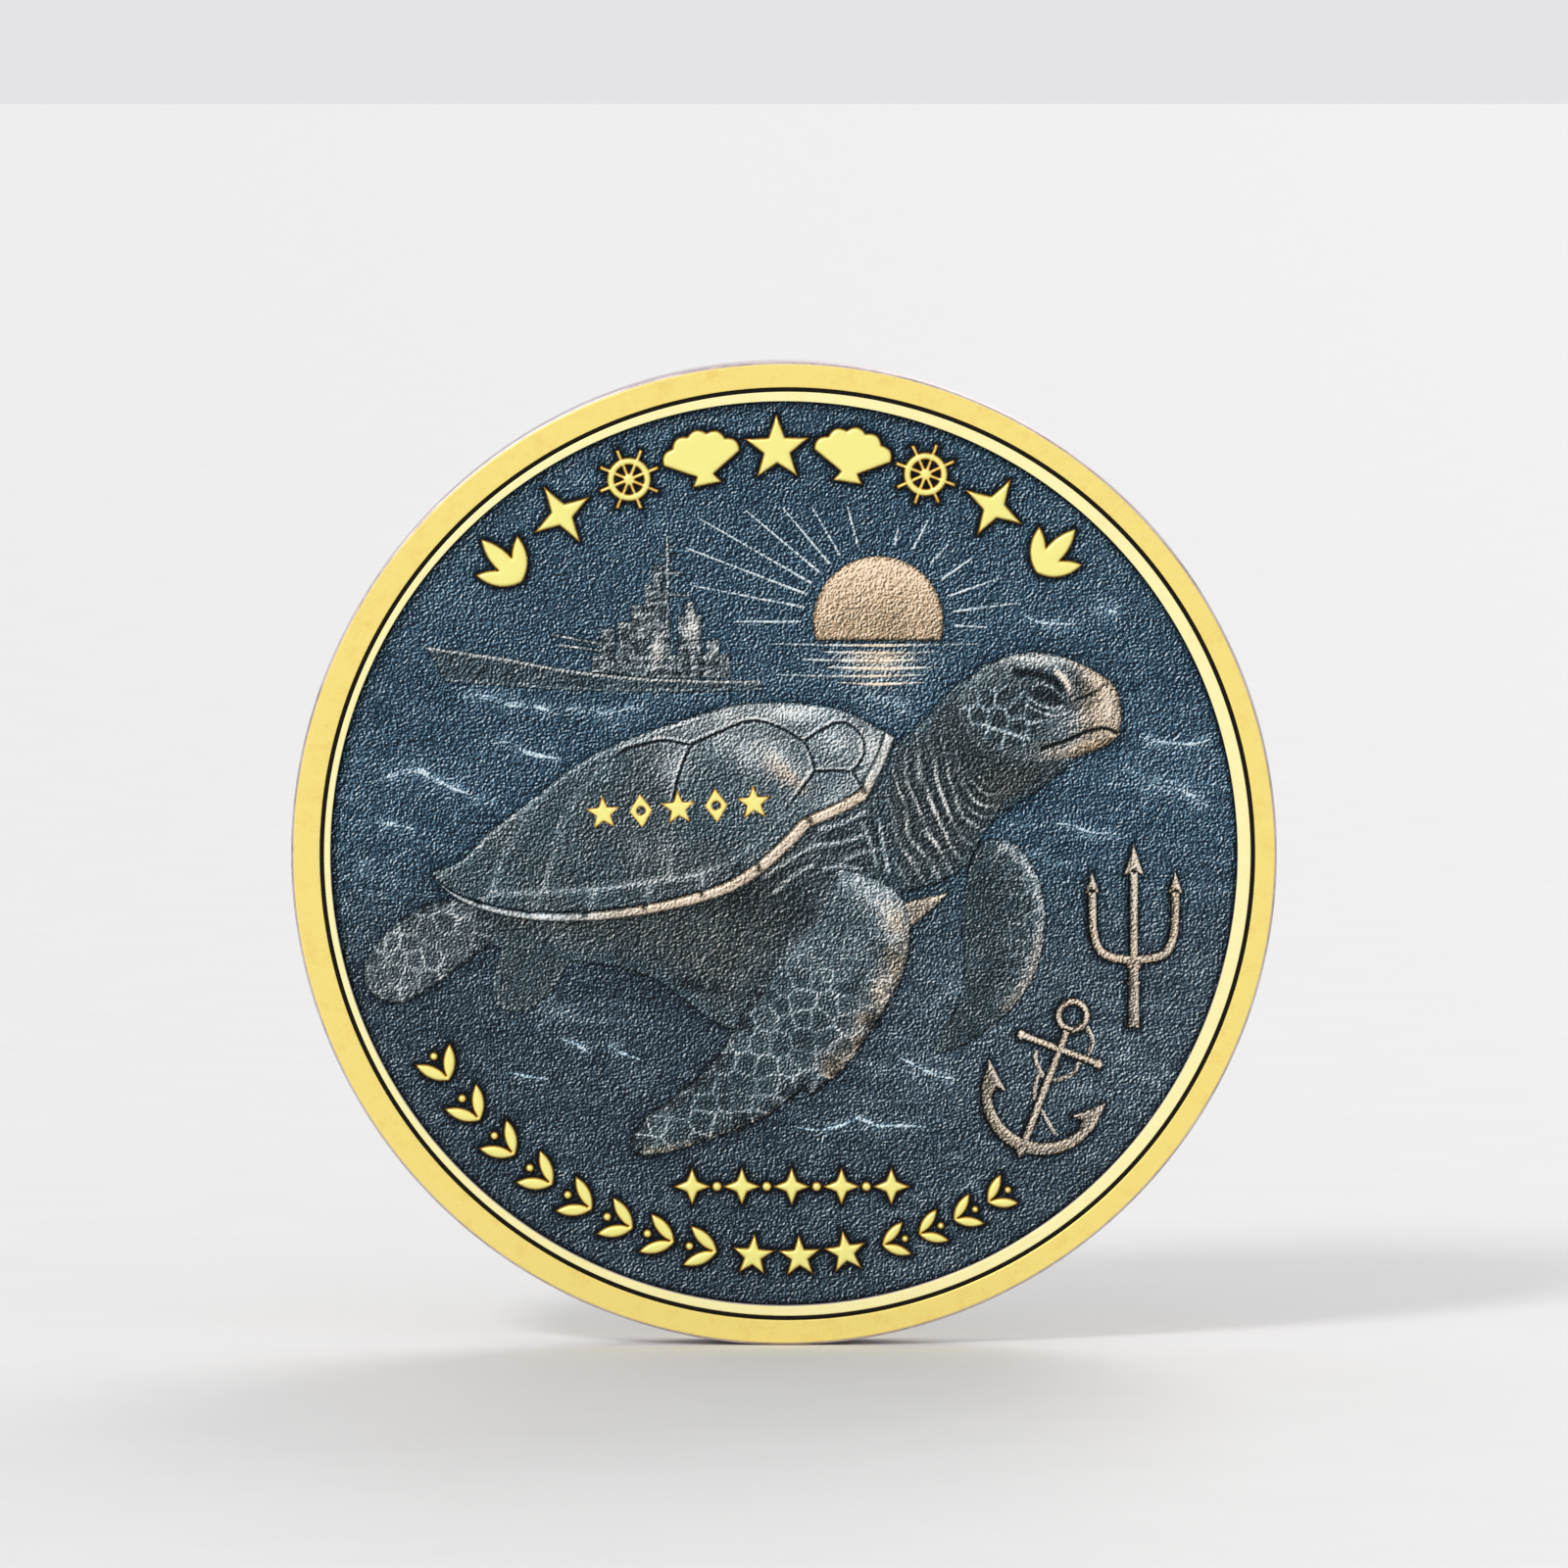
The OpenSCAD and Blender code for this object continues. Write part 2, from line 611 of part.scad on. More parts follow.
// Pointed leaf of length l, from the origin upwards: the overlap of two discs
module leaf(l, w) {
    r = (l * l + w * w) / (4 * w);
    intersection_for(side = [-1, 1]) at(side * (r - w / 2), l / 2) disc(r);
}

// Sprig of leaves, size s from its middle to its tip
module sprig(s) at(0, -0.9 * s) {
    leaf(1.9 * s, 0.62 * s);
    for (side = [-1, 1]) rotate(38 * side) leaf(1.5 * s, 0.52 * s);
}

// Scallop: a fan with a lobed edge over a small foot
module scallop(s) {
    lobes = 5;
    spread = 66;
    fan_y = -0.62 * s;
    polygon(concat(
        [for (i = [0 : 4 * lobes]) let (a = spread * (i / (2 * lobes) - 1),
            r = s * (1.42 + 0.13 * abs(sin(45 * i)))) [r * sin(a), r * cos(a) + fan_y]],
        [[0.3 * s, fan_y], [0.5 * s, fan_y - 0.32 * s], [-0.5 * s, fan_y - 0.32 * s], [-0.3 * s, fan_y]]
    ) * art_scale);
}

// Upright lozenge with a round hole
module lozenge(s) difference() {
    polygon([[0, s], [0.68 * s, 0], [0, -s], [-0.68 * s, 0]] * art_scale);
    disc(0.22 * s);
}

// Ship's wheel: a rim, a hub and eight spokes that end in handles
module ships_wheel(s) {
    difference() {
        disc(0.7 * s);
        disc(0.46 * s);
    }
    disc(0.2 * s);
    for (i = [0 : 3]) rotate(45 * i) at(-s, -0.06 * s) square([2 * s, 0.12 * s] * art_scale);
}

// Pair of leaves that opens towards the right, with a berry between them
module leaf_pair(s) at(-0.7 * s, 0) {
    for (side = [-1, 1]) rotate(33 * side - 90) leaf(1.75 * s, 0.6 * s);
    at(1.35 * s, 0) disc(0.2 * s);
}

// Place a child on the arc of radius r at the angle a, its top pointing outwards
module on_arc(r, a) rotate(a - 90) at(0, r) children();

top_arc_r = 18.3;
top_arc_middle = 91;
top_arc_step = 10.7;
bottom_arc_r = 18.25;
// Angles of the ornaments along the lower edge
bottom_left_angles = [212, 219.2, 226.2, 233, 239.6, 246, 252.2, 258.4];
bottom_star_angles = [265.6, 272.2, 278.8];
bottom_right_angles = [285.8, 291.2, 296.6, 302];

// The ornament at each place of the top arc, counted from its middle
module top_ornament(place) {
    if (place == 0) star(5, 1.55, 0.42);
    if (place == 1) scallop(1.35);
    if (place == 2) ships_wheel(1.42);
    if (place == 3) star(4, 1.5, 0.34);
    if (place == 4) sprig(1.4);
}

module top_arc_ornaments() color(gold) on_front() relief(ornament_h)
    for (i = [-4 : 4]) on_arc(top_arc_r, top_arc_middle - top_arc_step * i) top_ornament(abs(i));

module bottom_left_ornaments() color(gold) on_front() relief(ornament_h)
    for (a = bottom_left_angles) on_arc(bottom_arc_r, a) leaf_pair(0.95);

module bottom_stars() color(gold) on_front() relief(ornament_h)
    for (a = bottom_star_angles) on_arc(bottom_arc_r, a) rotate(180) star(5, 1, 0.42);

module bottom_right_ornaments() color(gold) on_front() relief(ornament_h)
    for (a = bottom_right_angles) on_arc(bottom_arc_r, a) rotate(180) leaf_pair(0.8);

lower_row_y = -15.05;
lower_row_step = 2.25;
lower_row_x = 0.35;

module lower_row_ornaments() color(gold) on_front() relief(ornament_h) {
    for (i = [-2 : 2]) at(lower_row_x + lower_row_step * i, lower_row_y) star(4, 0.85, 0.42);
    for (i = [-2 : 1]) at(lower_row_x + lower_row_step * (i + 0.5), lower_row_y) disc(0.22);
}

shell_row_x = -4.75;
shell_row_y = 2.1;
shell_row_tilt = 4;
shell_row_step = 1.7;

module shell_ornaments() color(gold) on_front() translate([0, 0, carapace_h + scute_h])
    relief(shell_ornament_h) at(shell_row_x, shell_row_y) rotate(shell_row_tilt)
        for (i = [-2 : 2]) at(shell_row_step * i, 0) {
            if (i % 2 == 0) star(5, 0.85, 0.42);
            else lozenge(0.8);
        }

// ---------- Back face ----------

rose_r = 12.2;
rose_minor_r = 7.6;
rose_hub_r = 2.2;
rope_ring_r = 14;
rope_ring_w = 0.9;
bead_ring_r = 17.6;

// One flat compass point of length r, half as wide at its root as the hub
module rose_point(r) polygon([[0, r], [0.14 * r, 0.14 * r], [0, 0], [-0.14 * r, 0.14 * r]] * art_scale);

module compass_rose() color("darkgoldenrod") on_back() relief(back_relief_h) difference() {
    for (i = [0 : 7]) rotate(45 * i) rose_point(i % 2 == 0 ? rose_r : rose_minor_r);
    disc(rose_hub_r / 2);
}

module compass_boss() color(gold) on_back() relief(back_relief_h) disc(rose_hub_r / 2);

module rope_ring() color(gold) on_back() relief(back_relief_h) difference() {
    disc(rope_ring_r + rope_ring_w / 2);
    disc(rope_ring_r - rope_ring_w / 2);
}

module bead_border() color(gold) on_back() relief(back_relief_h)
    for (i = [0 : bead_count - 1]) rotate(360 * i / bead_count) at(bead_ring_r, 0)
        circle(d = bead_d * art_scale, $fn = 24);

coin_blank();
front_gold_band();
front_enamel_groove();
front_inner_ring();
front_field();
sun();
sun_rays();
sea_ripples();
wave_crests();
warship_hull();
warship_deckworks();
carapace();
carapace_scutes();
carapace_rim();
turtle_head();
turtle_neck();
turtle_body();
near_front_flipper();
flipper_claw();
far_front_flipper();
near_rear_flipper();
far_rear_flipper();
trident();
anchor();
anchor_ring();
anchor_rope();
top_arc_ornaments();
bottom_left_ornaments();
bottom_stars();
bottom_right_ornaments();
lower_row_ornaments();
shell_ornaments();
back_gold_band();
back_enamel_groove();
back_inner_ring();
back_field();
compass_rose();
compass_boss();
rope_ring();
bead_border();
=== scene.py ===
"""Looks of the challenge coin: sculpted relief, worn patina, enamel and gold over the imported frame.

Artwork is drawn flat in millimetres, x to the right, y up and z out of the face, then stood up
on the front or the back of the coin. Every piece is a closed mesh that replaces its CAD node.
"""
import math

import bpy
import numpy as np
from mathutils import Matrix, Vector, kdtree
from mathutils.geometry import delaunay_2d_cdt


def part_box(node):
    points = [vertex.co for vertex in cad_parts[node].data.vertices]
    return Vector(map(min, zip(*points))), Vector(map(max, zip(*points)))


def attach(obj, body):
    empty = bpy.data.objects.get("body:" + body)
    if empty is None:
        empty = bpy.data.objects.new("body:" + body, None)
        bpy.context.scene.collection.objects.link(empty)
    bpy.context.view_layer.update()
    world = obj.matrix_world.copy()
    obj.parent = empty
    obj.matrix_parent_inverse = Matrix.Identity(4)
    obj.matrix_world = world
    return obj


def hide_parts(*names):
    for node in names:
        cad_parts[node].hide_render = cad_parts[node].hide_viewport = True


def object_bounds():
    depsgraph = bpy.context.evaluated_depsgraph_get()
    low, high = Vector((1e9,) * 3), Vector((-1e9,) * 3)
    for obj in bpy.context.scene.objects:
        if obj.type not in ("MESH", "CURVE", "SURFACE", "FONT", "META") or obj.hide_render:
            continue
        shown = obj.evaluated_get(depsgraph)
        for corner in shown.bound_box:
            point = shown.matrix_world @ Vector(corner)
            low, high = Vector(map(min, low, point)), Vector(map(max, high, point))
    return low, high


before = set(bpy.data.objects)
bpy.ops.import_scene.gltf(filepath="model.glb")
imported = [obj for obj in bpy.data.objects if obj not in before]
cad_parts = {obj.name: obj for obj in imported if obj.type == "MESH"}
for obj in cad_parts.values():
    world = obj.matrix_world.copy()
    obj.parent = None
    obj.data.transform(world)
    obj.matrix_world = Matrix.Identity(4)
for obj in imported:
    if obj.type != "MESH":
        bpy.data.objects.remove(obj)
cad_low, cad_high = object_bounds()

MM = 0.001

# ---------- Sizes from the frame, in millimetres ----------


def face_box(node):
    """Lowest and highest corner of a node as (x, y, z) of the face it is on, in millimetres."""
    low, high = (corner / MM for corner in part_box(node))
    if high.y > 0 and low.y > 0:
        return (-high.x, low.z, low.y), (-low.x, high.z, high.y)
    return (low.x, low.z, -high.y), (high.x, high.z, -low.y)


def top_z(node):
    """Height of a node's top above the coin's middle plane."""
    return face_box(node)[1][2]


COIN_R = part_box("coin_blank")[1].x / MM
BAND_R = face_box("front_gold_band")[1][0]
GROOVE_LOW, GROOVE_HIGH = face_box("front_enamel_groove")
GROOVE_R = (GROOVE_HIGH[0] - GROOVE_LOW[0]) / 2
GROOVE_X = (GROOVE_HIGH[0] + GROOVE_LOW[0]) / 2
RING_LOW, RING_HIGH = face_box("front_inner_ring")
RING_R = (RING_HIGH[0] - RING_LOW[0]) / 2
FIELD_R = face_box("front_field")[1][0]
FIELD_Z = top_z("front_field")
RIM_Z = top_z("front_gold_band")
SEAT_Z = face_box("front_gold_band")[0][2]
FLOOR_Z = face_box("front_field")[0][2]
# A relief piece starts this far under the enamel's surface
SINK = 0.05
# Length of the short stretches that outlines are cut into
OUTLINE_STEP = 0.09
# Distance between the points on a relief's surface, from the most detailed pieces to the plainest
FINE_STEP, SHELL_STEP, ORNAMENT_STEP, MEDIUM_STEP = 0.05, 0.055, 0.06, 0.07
BACK_STEP, ROSE_STEP, FRONT_FIELD_STEP, BACK_FIELD_STEP = 0.08, 0.09, 0.135, 0.2
# How much wear adds to the tone at most, and how much painted shade darkens the foot of a piece
WEAR_TONE = 0.28
PAINTED_FOOT_SHADE = 0.22


# ---------- Noise and profiles ----------


def soft_step(t):
    """0 to 1 with soft ends."""
    t = np.clip(t, 0, 1)
    return t * t * (3 - 2 * t)


def dome(d, r):
    """Round shoulder: 0 at the edge, 1 from a distance r inwards."""
    return np.sqrt(1 - (1 - np.clip(d / r, 0, 1)) ** 2)


def bell(x, width):
    """Soft bump: 1 where x is 0, fading out over the width."""
    return np.exp(-(x / width) ** 2)


def noise(p, size, seed):
    """Smooth noise from -1 to 1 with lumps of about size; size may be one number or (x, y)."""
    table = np.random.default_rng(seed).uniform(-1, 1, (256, 256))
    q = p / np.array(size, float) + 90.3
    cell = np.floor(q).astype(int)
    f = soft_step(q - cell)
    i, j = (cell % 256).T
    i1, j1 = ((cell + 1) % 256).T
    low = table[j, i] * (1 - f[:, 0]) + table[j, i1] * f[:, 0]
    high = table[j1, i] * (1 - f[:, 0]) + table[j1, i1] * f[:, 0]
    return low * (1 - f[:, 1]) + high * f[:, 1]


def rough(p, size, seed):
    """Three octaves of noise, about -1 to 1."""
    parts = [noise(p, np.array(size, float) / 2 ** k, seed + k) / 2 ** k for k in range(3)]
    return sum(parts) / 1.5


def turned(p, degrees):
    """The points turned about the origin."""
    c, s = math.cos(math.radians(degrees)), math.sin(math.radians(degrees))
    return p @ np.array([[c, s], [-s, c]])


def blob(p, x, y, rx, ry, turn=0):
    """Soft oval spot: 1 at (x, y), fading out over rx and ry."""
    q = turned(p - [x, y], -turn) / [rx, ry]
    return np.exp(-(q ** 2).sum(1))


def spots(p, rows):
    """Sum of soft ovals, each row being x, y, rx, ry, turn and amount."""
    return sum(row[5] * blob(p, *row[:5]) for row in rows)


def near_line(p, points):
    """Distance from each point to a smooth line, and how far along it the nearest place is."""
    line = np.vstack([curve(points, 0.25), [points[-1]]])
    n = len(line) - 1
    best = np.full(len(p), 1e9)
    along = np.zeros(len(p))
    for i in range(n):
        a, b = line[i], line[i + 1]
        t = np.clip(((p - a) @ (b - a)) / ((b - a) @ (b - a)), 0, 1)
        d = np.hypot(*(p - a - t[:, None] * (b - a)).T)
        closer = d < best
        best[closer] = d[closer]
        along[closer] = (i + t[closer]) / n
    return best, along


def ridge(p, points, width, ends=0.15):
    """Soft ridge along a smooth line, 1 on the line, thinning out at both ends."""
    d, along = near_line(p, points)
    fade = soft_step(np.minimum(along, 1 - along) / ends) if ends else 1
    return bell(d, width) * fade


def ridges(p, lines, width, ends=0.15):
    """The highest of several ridges."""
    return np.max([ridge(p, line, width, ends) for line in lines], axis=0)


def cells(p, size, seed):
    """Irregular scales of about size: distance to the nearest border, and a number for each scale."""
    q = p / size + 50.5
    base = np.floor(q).astype(int)
    table = np.random.default_rng(seed).uniform(0.12, 0.88, (128, 128, 2))
    found = []
    for dx in (-1, 0, 1):
        for dy in (-1, 0, 1):
            cell = base + [dx, dy]
            centre = cell + table[cell[:, 1] % 128, cell[:, 0] % 128]
            found.append(np.column_stack([np.hypot(*(q - centre).T), centre]))
    found = np.array(found)
    order = np.argsort(found[:, :, 0], axis=0)
    rows = np.arange(len(p))
    first, second = found[order[0], rows], found[order[1], rows]
    gap = np.hypot(*(first[:, 1:] - second[:, 1:]).T)
    border = (second[:, 0] ** 2 - first[:, 0] ** 2) / (2 * gap) * size
    return border, np.sin(first[:, 1] * 12.9 + first[:, 2] * 78.2)


def placed_cells(p, centres):
    """Scales round listed centres: distance to the nearest border."""
    c = np.array(centres, float)
    d = np.hypot(p[:, None, 0] - c[None, :, 0], p[:, None, 1] - c[None, :, 1])
    order = np.argsort(d, axis=1)[:, :2]
    rows = np.arange(len(p))
    first, second = d[rows, order[:, 0]], d[rows, order[:, 1]]
    gap = np.hypot(*(c[order[:, 0]] - c[order[:, 1]]).T)
    return (second ** 2 - first ** 2) / (2 * gap)


# ---------- Curves and flat regions ----------


def curve(points, step=OUTLINE_STEP):
    """Smooth curve through the points, without its last point."""
    p = np.array(points, float)
    out = []
    for i in range(len(p) - 1):
        a, b, c, d = p[max(i - 1, 0)], p[i], p[i + 1], p[min(i + 2, len(p) - 1)]
        n = max(2, math.ceil(np.linalg.norm(c - b) / step))
        t = np.arange(n)[:, None] / n
        out.append((2 * b + (c - a) * t + (2 * a - 5 * b + 4 * c - d) * t * t
                    + (3 * b - a - 3 * c + d) * t ** 3) / 2)
    return np.vstack(out)


def split_long(loop, step=OUTLINE_STEP):
    """The closed loop with its long sides cut into short ones."""
    out = []
    for a, b in zip(loop, np.roll(loop, -1, 0)):
        n = max(1, math.ceil(np.linalg.norm(b - a) / step))
        out.append(a + (b - a) * np.arange(n)[:, None] / n)
    return np.vstack(out)


class Flat:
    """A flat region: the loops that bound it, and a test for points inside it."""

    def __init__(self, loops, inside):
        self.loops = loops
        self.inside = inside

    def __or__(self, other):
        return Flat(self.loops + other.loops, lambda p: self.inside(p) | other.inside(p))

    def __sub__(self, other):
        return Flat(self.loops + other.loops, lambda p: self.inside(p) & ~other.inside(p))

    def __and__(self, other):
        return Flat(self.loops + other.loops, lambda p: self.inside(p) & other.inside(p))

    def moved(self, x=0.0, y=0.0, turn=0.0):
        """The region turned about the origin, then moved."""
        return Flat([turned(loop, turn) + [x, y] for loop in self.loops],
                    lambda p: self.inside(turned(p - [x, y], -turn)))


def inside_loop(loop, p):
    """Whether each point is inside the closed loop, which may cross itself."""
    inside = np.zeros(len(p), bool)
    near = ((p >= loop.min(0)) & (p <= loop.max(0))).all(1)
    x, y = p[near].T
    winding = np.zeros(len(x), int)
    for (x0, y0), (x1, y1) in zip(loop, np.roll(loop, -1, 0)):
        if y0 == y1:
            continue
        crosses = ((y0 > y) != (y1 > y)) & (x < (x1 - x0) * (y - y0) / (y1 - y0) + x0)
        winding += np.where(crosses, 1 if y1 > y0 else -1, 0)
    inside[near] = winding != 0
    return inside


def polygon(points):
    loop = split_long(np.array(points, float))
    return Flat([loop], lambda p: inside_loop(loop, p))


def outline(*stretches):
    """Closed region bounded by smooth stretches that meet at corners."""
    return polygon(np.vstack([curve(points) for points in stretches]))


def disc(x, y, r):
    n = max(24, math.ceil(2 * math.pi * r / OUTLINE_STEP))
    a = 2 * math.pi * np.arange(n) / n
    loop = np.column_stack([x + r * np.cos(a), y + r * np.sin(a)])
    return Flat([loop], lambda p: np.hypot(p[:, 0] - x, p[:, 1] - y) < r)


def box(x0, y0, x1, y1):
    return polygon([(x0, y0), (x1, y0), (x1, y1), (x0, y1)])


def band(points, half):
    """Region along an open line, with one half width for each point of the line."""
    d = np.gradient(points, axis=0)
    left = np.column_stack([-d[:, 1], d[:, 0]]) / np.hypot(*d.T)[:, None] * half[:, None]
    return polygon(np.vstack([points + left, (points - left)[::-1]]))


def stroke(points, w0, w1):
    """Stroke that tapers evenly from w0 wide to w1 wide."""
    line = np.vstack([curve(points), [points[-1]]])
    return band(line, np.linspace(w0, w1, len(line)) / 2)


def crest(points, w):
    """Stroke that is w wide in the middle and thins out towards both ends."""
    line = np.vstack([curve(points), [points[-1]]])
    return band(line, w / 2 * (0.25 + 0.75 * np.sin(np.linspace(0, math.pi, len(line)))))


def border_points(flats):
    """Points of the loops at which the regions really end."""
    near = 0.03
    found = []
    for flat in flats:
        points = np.vstack(flat.loops)
        around = [flat.inside(points + way) for way in ([near, 0], [-near, 0], [0, near], [0, -near])]
        found.append(points[np.any(around, axis=0) & ~np.all(around, axis=0)])
    return np.vstack(found)


def union(parts):
    whole = parts[0]
    for part in parts[1:]:
        whole = whole | part
    return whole


# ---------- Meshes ----------


def triangulate(flat, step):
    """Flat triangles over the region: points (n, 2) and triangles (m, 3)."""
    points, edges = [], []
    for loop in flat.loops:
        first = len(points)
        n = len(loop)
        points += loop.tolist()
        edges += [(first + i, first + (i + 1) % n) for i in range(n)]
    if step:
        points += inner_grid(flat, step).tolist()
    verts, _, faces, _, _, _ = delaunay_2d_cdt(points, edges, [], 0, 1e-6, False)
    p = np.array(verts)
    t = np.array(faces)
    t = t[flat.inside(p[t].mean(1))]
    used, index = np.unique(t, return_inverse=True)
    return p[used], index.reshape(t.shape)


def inner_grid(flat, step):
    """Points of a triangular grid inside the region, clear of its outlines."""
    edge = np.vstack(flat.loops)
    low, high = edge.min(0), edge.max(0)
    rows = np.arange(low[1], high[1], step * math.sqrt(3) / 2)
    columns = np.arange(low[0], high[0], step)
    x, y = np.meshgrid(columns, rows)
    x = x + (np.arange(len(rows)) % 2)[:, None] * step / 2
    p = np.column_stack([x.ravel(), y.ravel()])
    p = p[flat.inside(p)]
    return p[distance_to(p, edge) > 0.6 * step]


def distance_to(p, targets):
    """Distance from each point to the nearest of the targets."""
    tree = kdtree.KDTree(len(targets))
    for i, (x, y) in enumerate(targets):
        tree.insert((x, y, 0), i)
    tree.balance()
    return np.array([tree.find((x, y, 0))[2] for x, y in p])


def all_edges(triangles):
    """The three edges of each triangle, in the triangle's direction."""
    return np.vstack([triangles[:, [0, 1]], triangles[:, [1, 2]], triangles[:, [2, 0]]])


def open_edges(triangles):
    """Edges that only one triangle has, in that triangle's direction."""
    e = all_edges(triangles)
    key = np.sort(e, axis=1)
    _, first, count = np.unique(key, axis=0, return_index=True, return_counts=True)
    return e[first[count == 1]]


def blurred(z, triangles, rounds):
    """z averaged over its neighbours on the mesh, rounds times."""
    e = all_edges(triangles)
    degree = np.bincount(e.ravel(), minlength=len(z))
    for _ in range(rounds):
        total = np.bincount(e[:, 0], z[e[:, 1]], len(z)) + np.bincount(e[:, 1], z[e[:, 0]], len(z))
        z = (z + total / degree) / 2
    return z


def leaning(p, z, triangles):
    """How far the surface at each point leans to the right and upwards, from -1 to 1."""
    v = np.column_stack([p, z])
    a, b, c = v[triangles[:, 0]], v[triangles[:, 1]], v[triangles[:, 2]]
    normal = np.cross(b - a, c - a)
    total = np.zeros(v.shape)
    for corner in triangles.T:
        np.add.at(total, corner, normal)
    total /= np.linalg.norm(total, axis=1)[:, None]
    return 0.9 * total[:, 0] + 0.4 * total[:, 1]


def relief(flat, step, sculpt, base_z=FIELD_Z - SINK, wear=0.03, wear_rounds=14, painted_light=0.0):
    """Closed relief over a flat region.

    sculpt(points, edge distance) gives the height above the field, the tone and the warmth,
    which may be one number for the whole piece.
    Wear adds to the tone on what stands out and takes from it in the grooves; painted light adds to it on
    slopes that face right and up, and painted shade takes from it on those that face left and down.
    """
    p, top = triangulate(flat, step)
    rim = open_edges(top)
    rim_points = p[rim[:, 0]]
    middles = (p[rim[:, 0]] + p[rim[:, 1]]) / 2
    d = distance_to(p, np.vstack([rim_points, middles]))
    z, tone, warm = sculpt(p, d)
    warm = np.clip(np.full(len(p), warm), 0, 1)
    tone = tone + np.clip((z - blurred(z, top, wear_rounds)) / wear, -1, 1) * WEAR_TONE
    # Painted light on slopes facing right and up, painted shade on those facing left and down
    if painted_light:
        tone = tone + painted_light * leaning(p, z, top)
    n = len(p)
    lower_index = np.full(n, -1)
    on_rim = np.unique(rim)
    lower_index[on_rim] = n + np.arange(len(on_rim))
    a, b = rim.T
    skirt = np.vstack([np.column_stack([b, a, lower_index[a]]),
                       np.column_stack([b, lower_index[a], lower_index[b]])])
    verts = np.column_stack([p, FIELD_Z + z])
    lower = np.column_stack([p[on_rim], np.full(len(on_rim), base_z)])
    under = floor_triangles(flat, p[on_rim], rim, on_rim) + n
    # Painted shade on the foot of the piece, under its rim
    tone = np.concatenate([tone, tone[on_rim] - PAINTED_FOOT_SHADE])
    warm = np.concatenate([warm, warm[on_rim]])
    return np.vstack([verts, lower]), np.vstack([top, skirt, under]), tone, warm


def floor_triangles(flat, points, rim, on_rim):
    """Downward-facing triangles that close the relief underneath, indexed from its first rim point."""
    order = np.full(on_rim.max() + 1, -1)
    order[on_rim] = np.arange(len(on_rim))
    edges = order[rim]
    verts, _, faces, _, _, _ = delaunay_2d_cdt(points.tolist(), edges.tolist(), [], 0, 1e-7, False)
    p = np.array(verts)
    t = np.array(faces)
    inside = flat.inside(p[t].mean(1))
    # A sliver along a straight border belongs to the side on which it touches the border's edges
    n = len(p)
    sides = t * n + np.roll(t, -1, axis=1)
    within = np.isin(sides, edges[:, 0] * n + edges[:, 1]).any(1)
    beyond = np.isin(sides, edges[:, 1] * n + edges[:, 0]).any(1)
    return t[(inside | within) & ~beyond][:, ::-1]


def joined(parts):
    """Several meshes (points, triangles, tone, warmth) as one."""
    first = np.cumsum([0] + [len(part[0]) for part in parts[:-1]])
    return (np.vstack([part[0] for part in parts]),
            np.vstack([part[1] + start for part, start in zip(parts, first)]),
            np.concatenate([part[2] for part in parts]),
            np.concatenate([part[3] for part in parts]))


def ring_mesh(inner, outer, profile, segments=540, wobble=0.0, seed=1):
    """Closed ring between two circles, given as (x, r).

    Each profile row is the edge it is measured from (0 inner, 1 outer), the distance from it
    towards the other edge, and the height. Wobble roughens the top.
    """
    a = 2 * math.pi * np.arange(segments) / segments
    way = np.column_stack([np.cos(a), np.sin(a)])
    low = way * inner[1] + [inner[0], 0]
    high = way * outer[1] + [outer[0], 0]
    along = (high - low) / np.hypot(*(high - low).T)[:, None]
    rows = []
    for edge, inset, z in profile:
        p = high - along * inset if edge else low + along * inset
        lift = wobble * rough(p, 1.1, seed) if inset else 0
        rows.append(np.column_stack([p, np.full(segments, z) + lift]))
    n = len(profile)
    index = np.arange(segments)
    after = (index + 1) % segments
    triangles = []
    for k in range(n):
        m = (k + 1) % n
        q = [k * segments + index, k * segments + after, m * segments + after, m * segments + index]
        triangles += [np.column_stack([q[0], q[2], q[1]]), np.column_stack([q[0], q[3], q[2]])]
    verts = np.vstack(rows)
    return verts, np.vstack(triangles), np.full(len(verts), 0.5), np.full(len(verts), 0.5)


def piece(name, mesh_data, material, nodes, back=False):
    """A Blender object from a mesh on one face; it rides the coin and stands for its CAD nodes.

    The material is named as in M.
    """
    verts, triangles, tone, warm = mesh_data
    x, y, z = verts.T
    world = np.column_stack([-x, z, y] if back else [x, -z, y]) * MM
    mesh = bpy.data.meshes.new(name)
    mesh.vertices.add(len(world))
    mesh.vertices.foreach_set("co", world.ravel())
    mesh.loops.add(triangles.size)
    mesh.loops.foreach_set("vertex_index", triangles.ravel())
    mesh.polygons.add(len(triangles))
    mesh.polygons.foreach_set("loop_start", np.arange(0, triangles.size, 3))
    mesh.polygons.foreach_set("use_smooth", np.ones(len(triangles), bool))
    mesh.update(calc_edges=True)
    for attribute, values in (("tone", tone), ("warm", warm)):
        layer = mesh.attributes.new(attribute, "FLOAT", "POINT")
        layer.data.foreach_set("value", values.astype(np.float32))
    mesh.materials.append(M[material])
    obj = bpy.data.objects.new(name, mesh)
    bpy.context.scene.collection.objects.link(obj)
    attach(obj, "root")
    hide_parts(*nodes)
    return obj


# ---------- Materials ----------


def linear(c):
    """Linear value of an 8-bit sRGB value."""
    return c / 255 / 12.92 if c <= 10 else ((c / 255 + 0.055) / 1.055) ** 2.4


def srgb(r, g, b):
    """Linear colour of an 8-bit sRGB colour."""
    return linear(r), linear(g), linear(b), 1


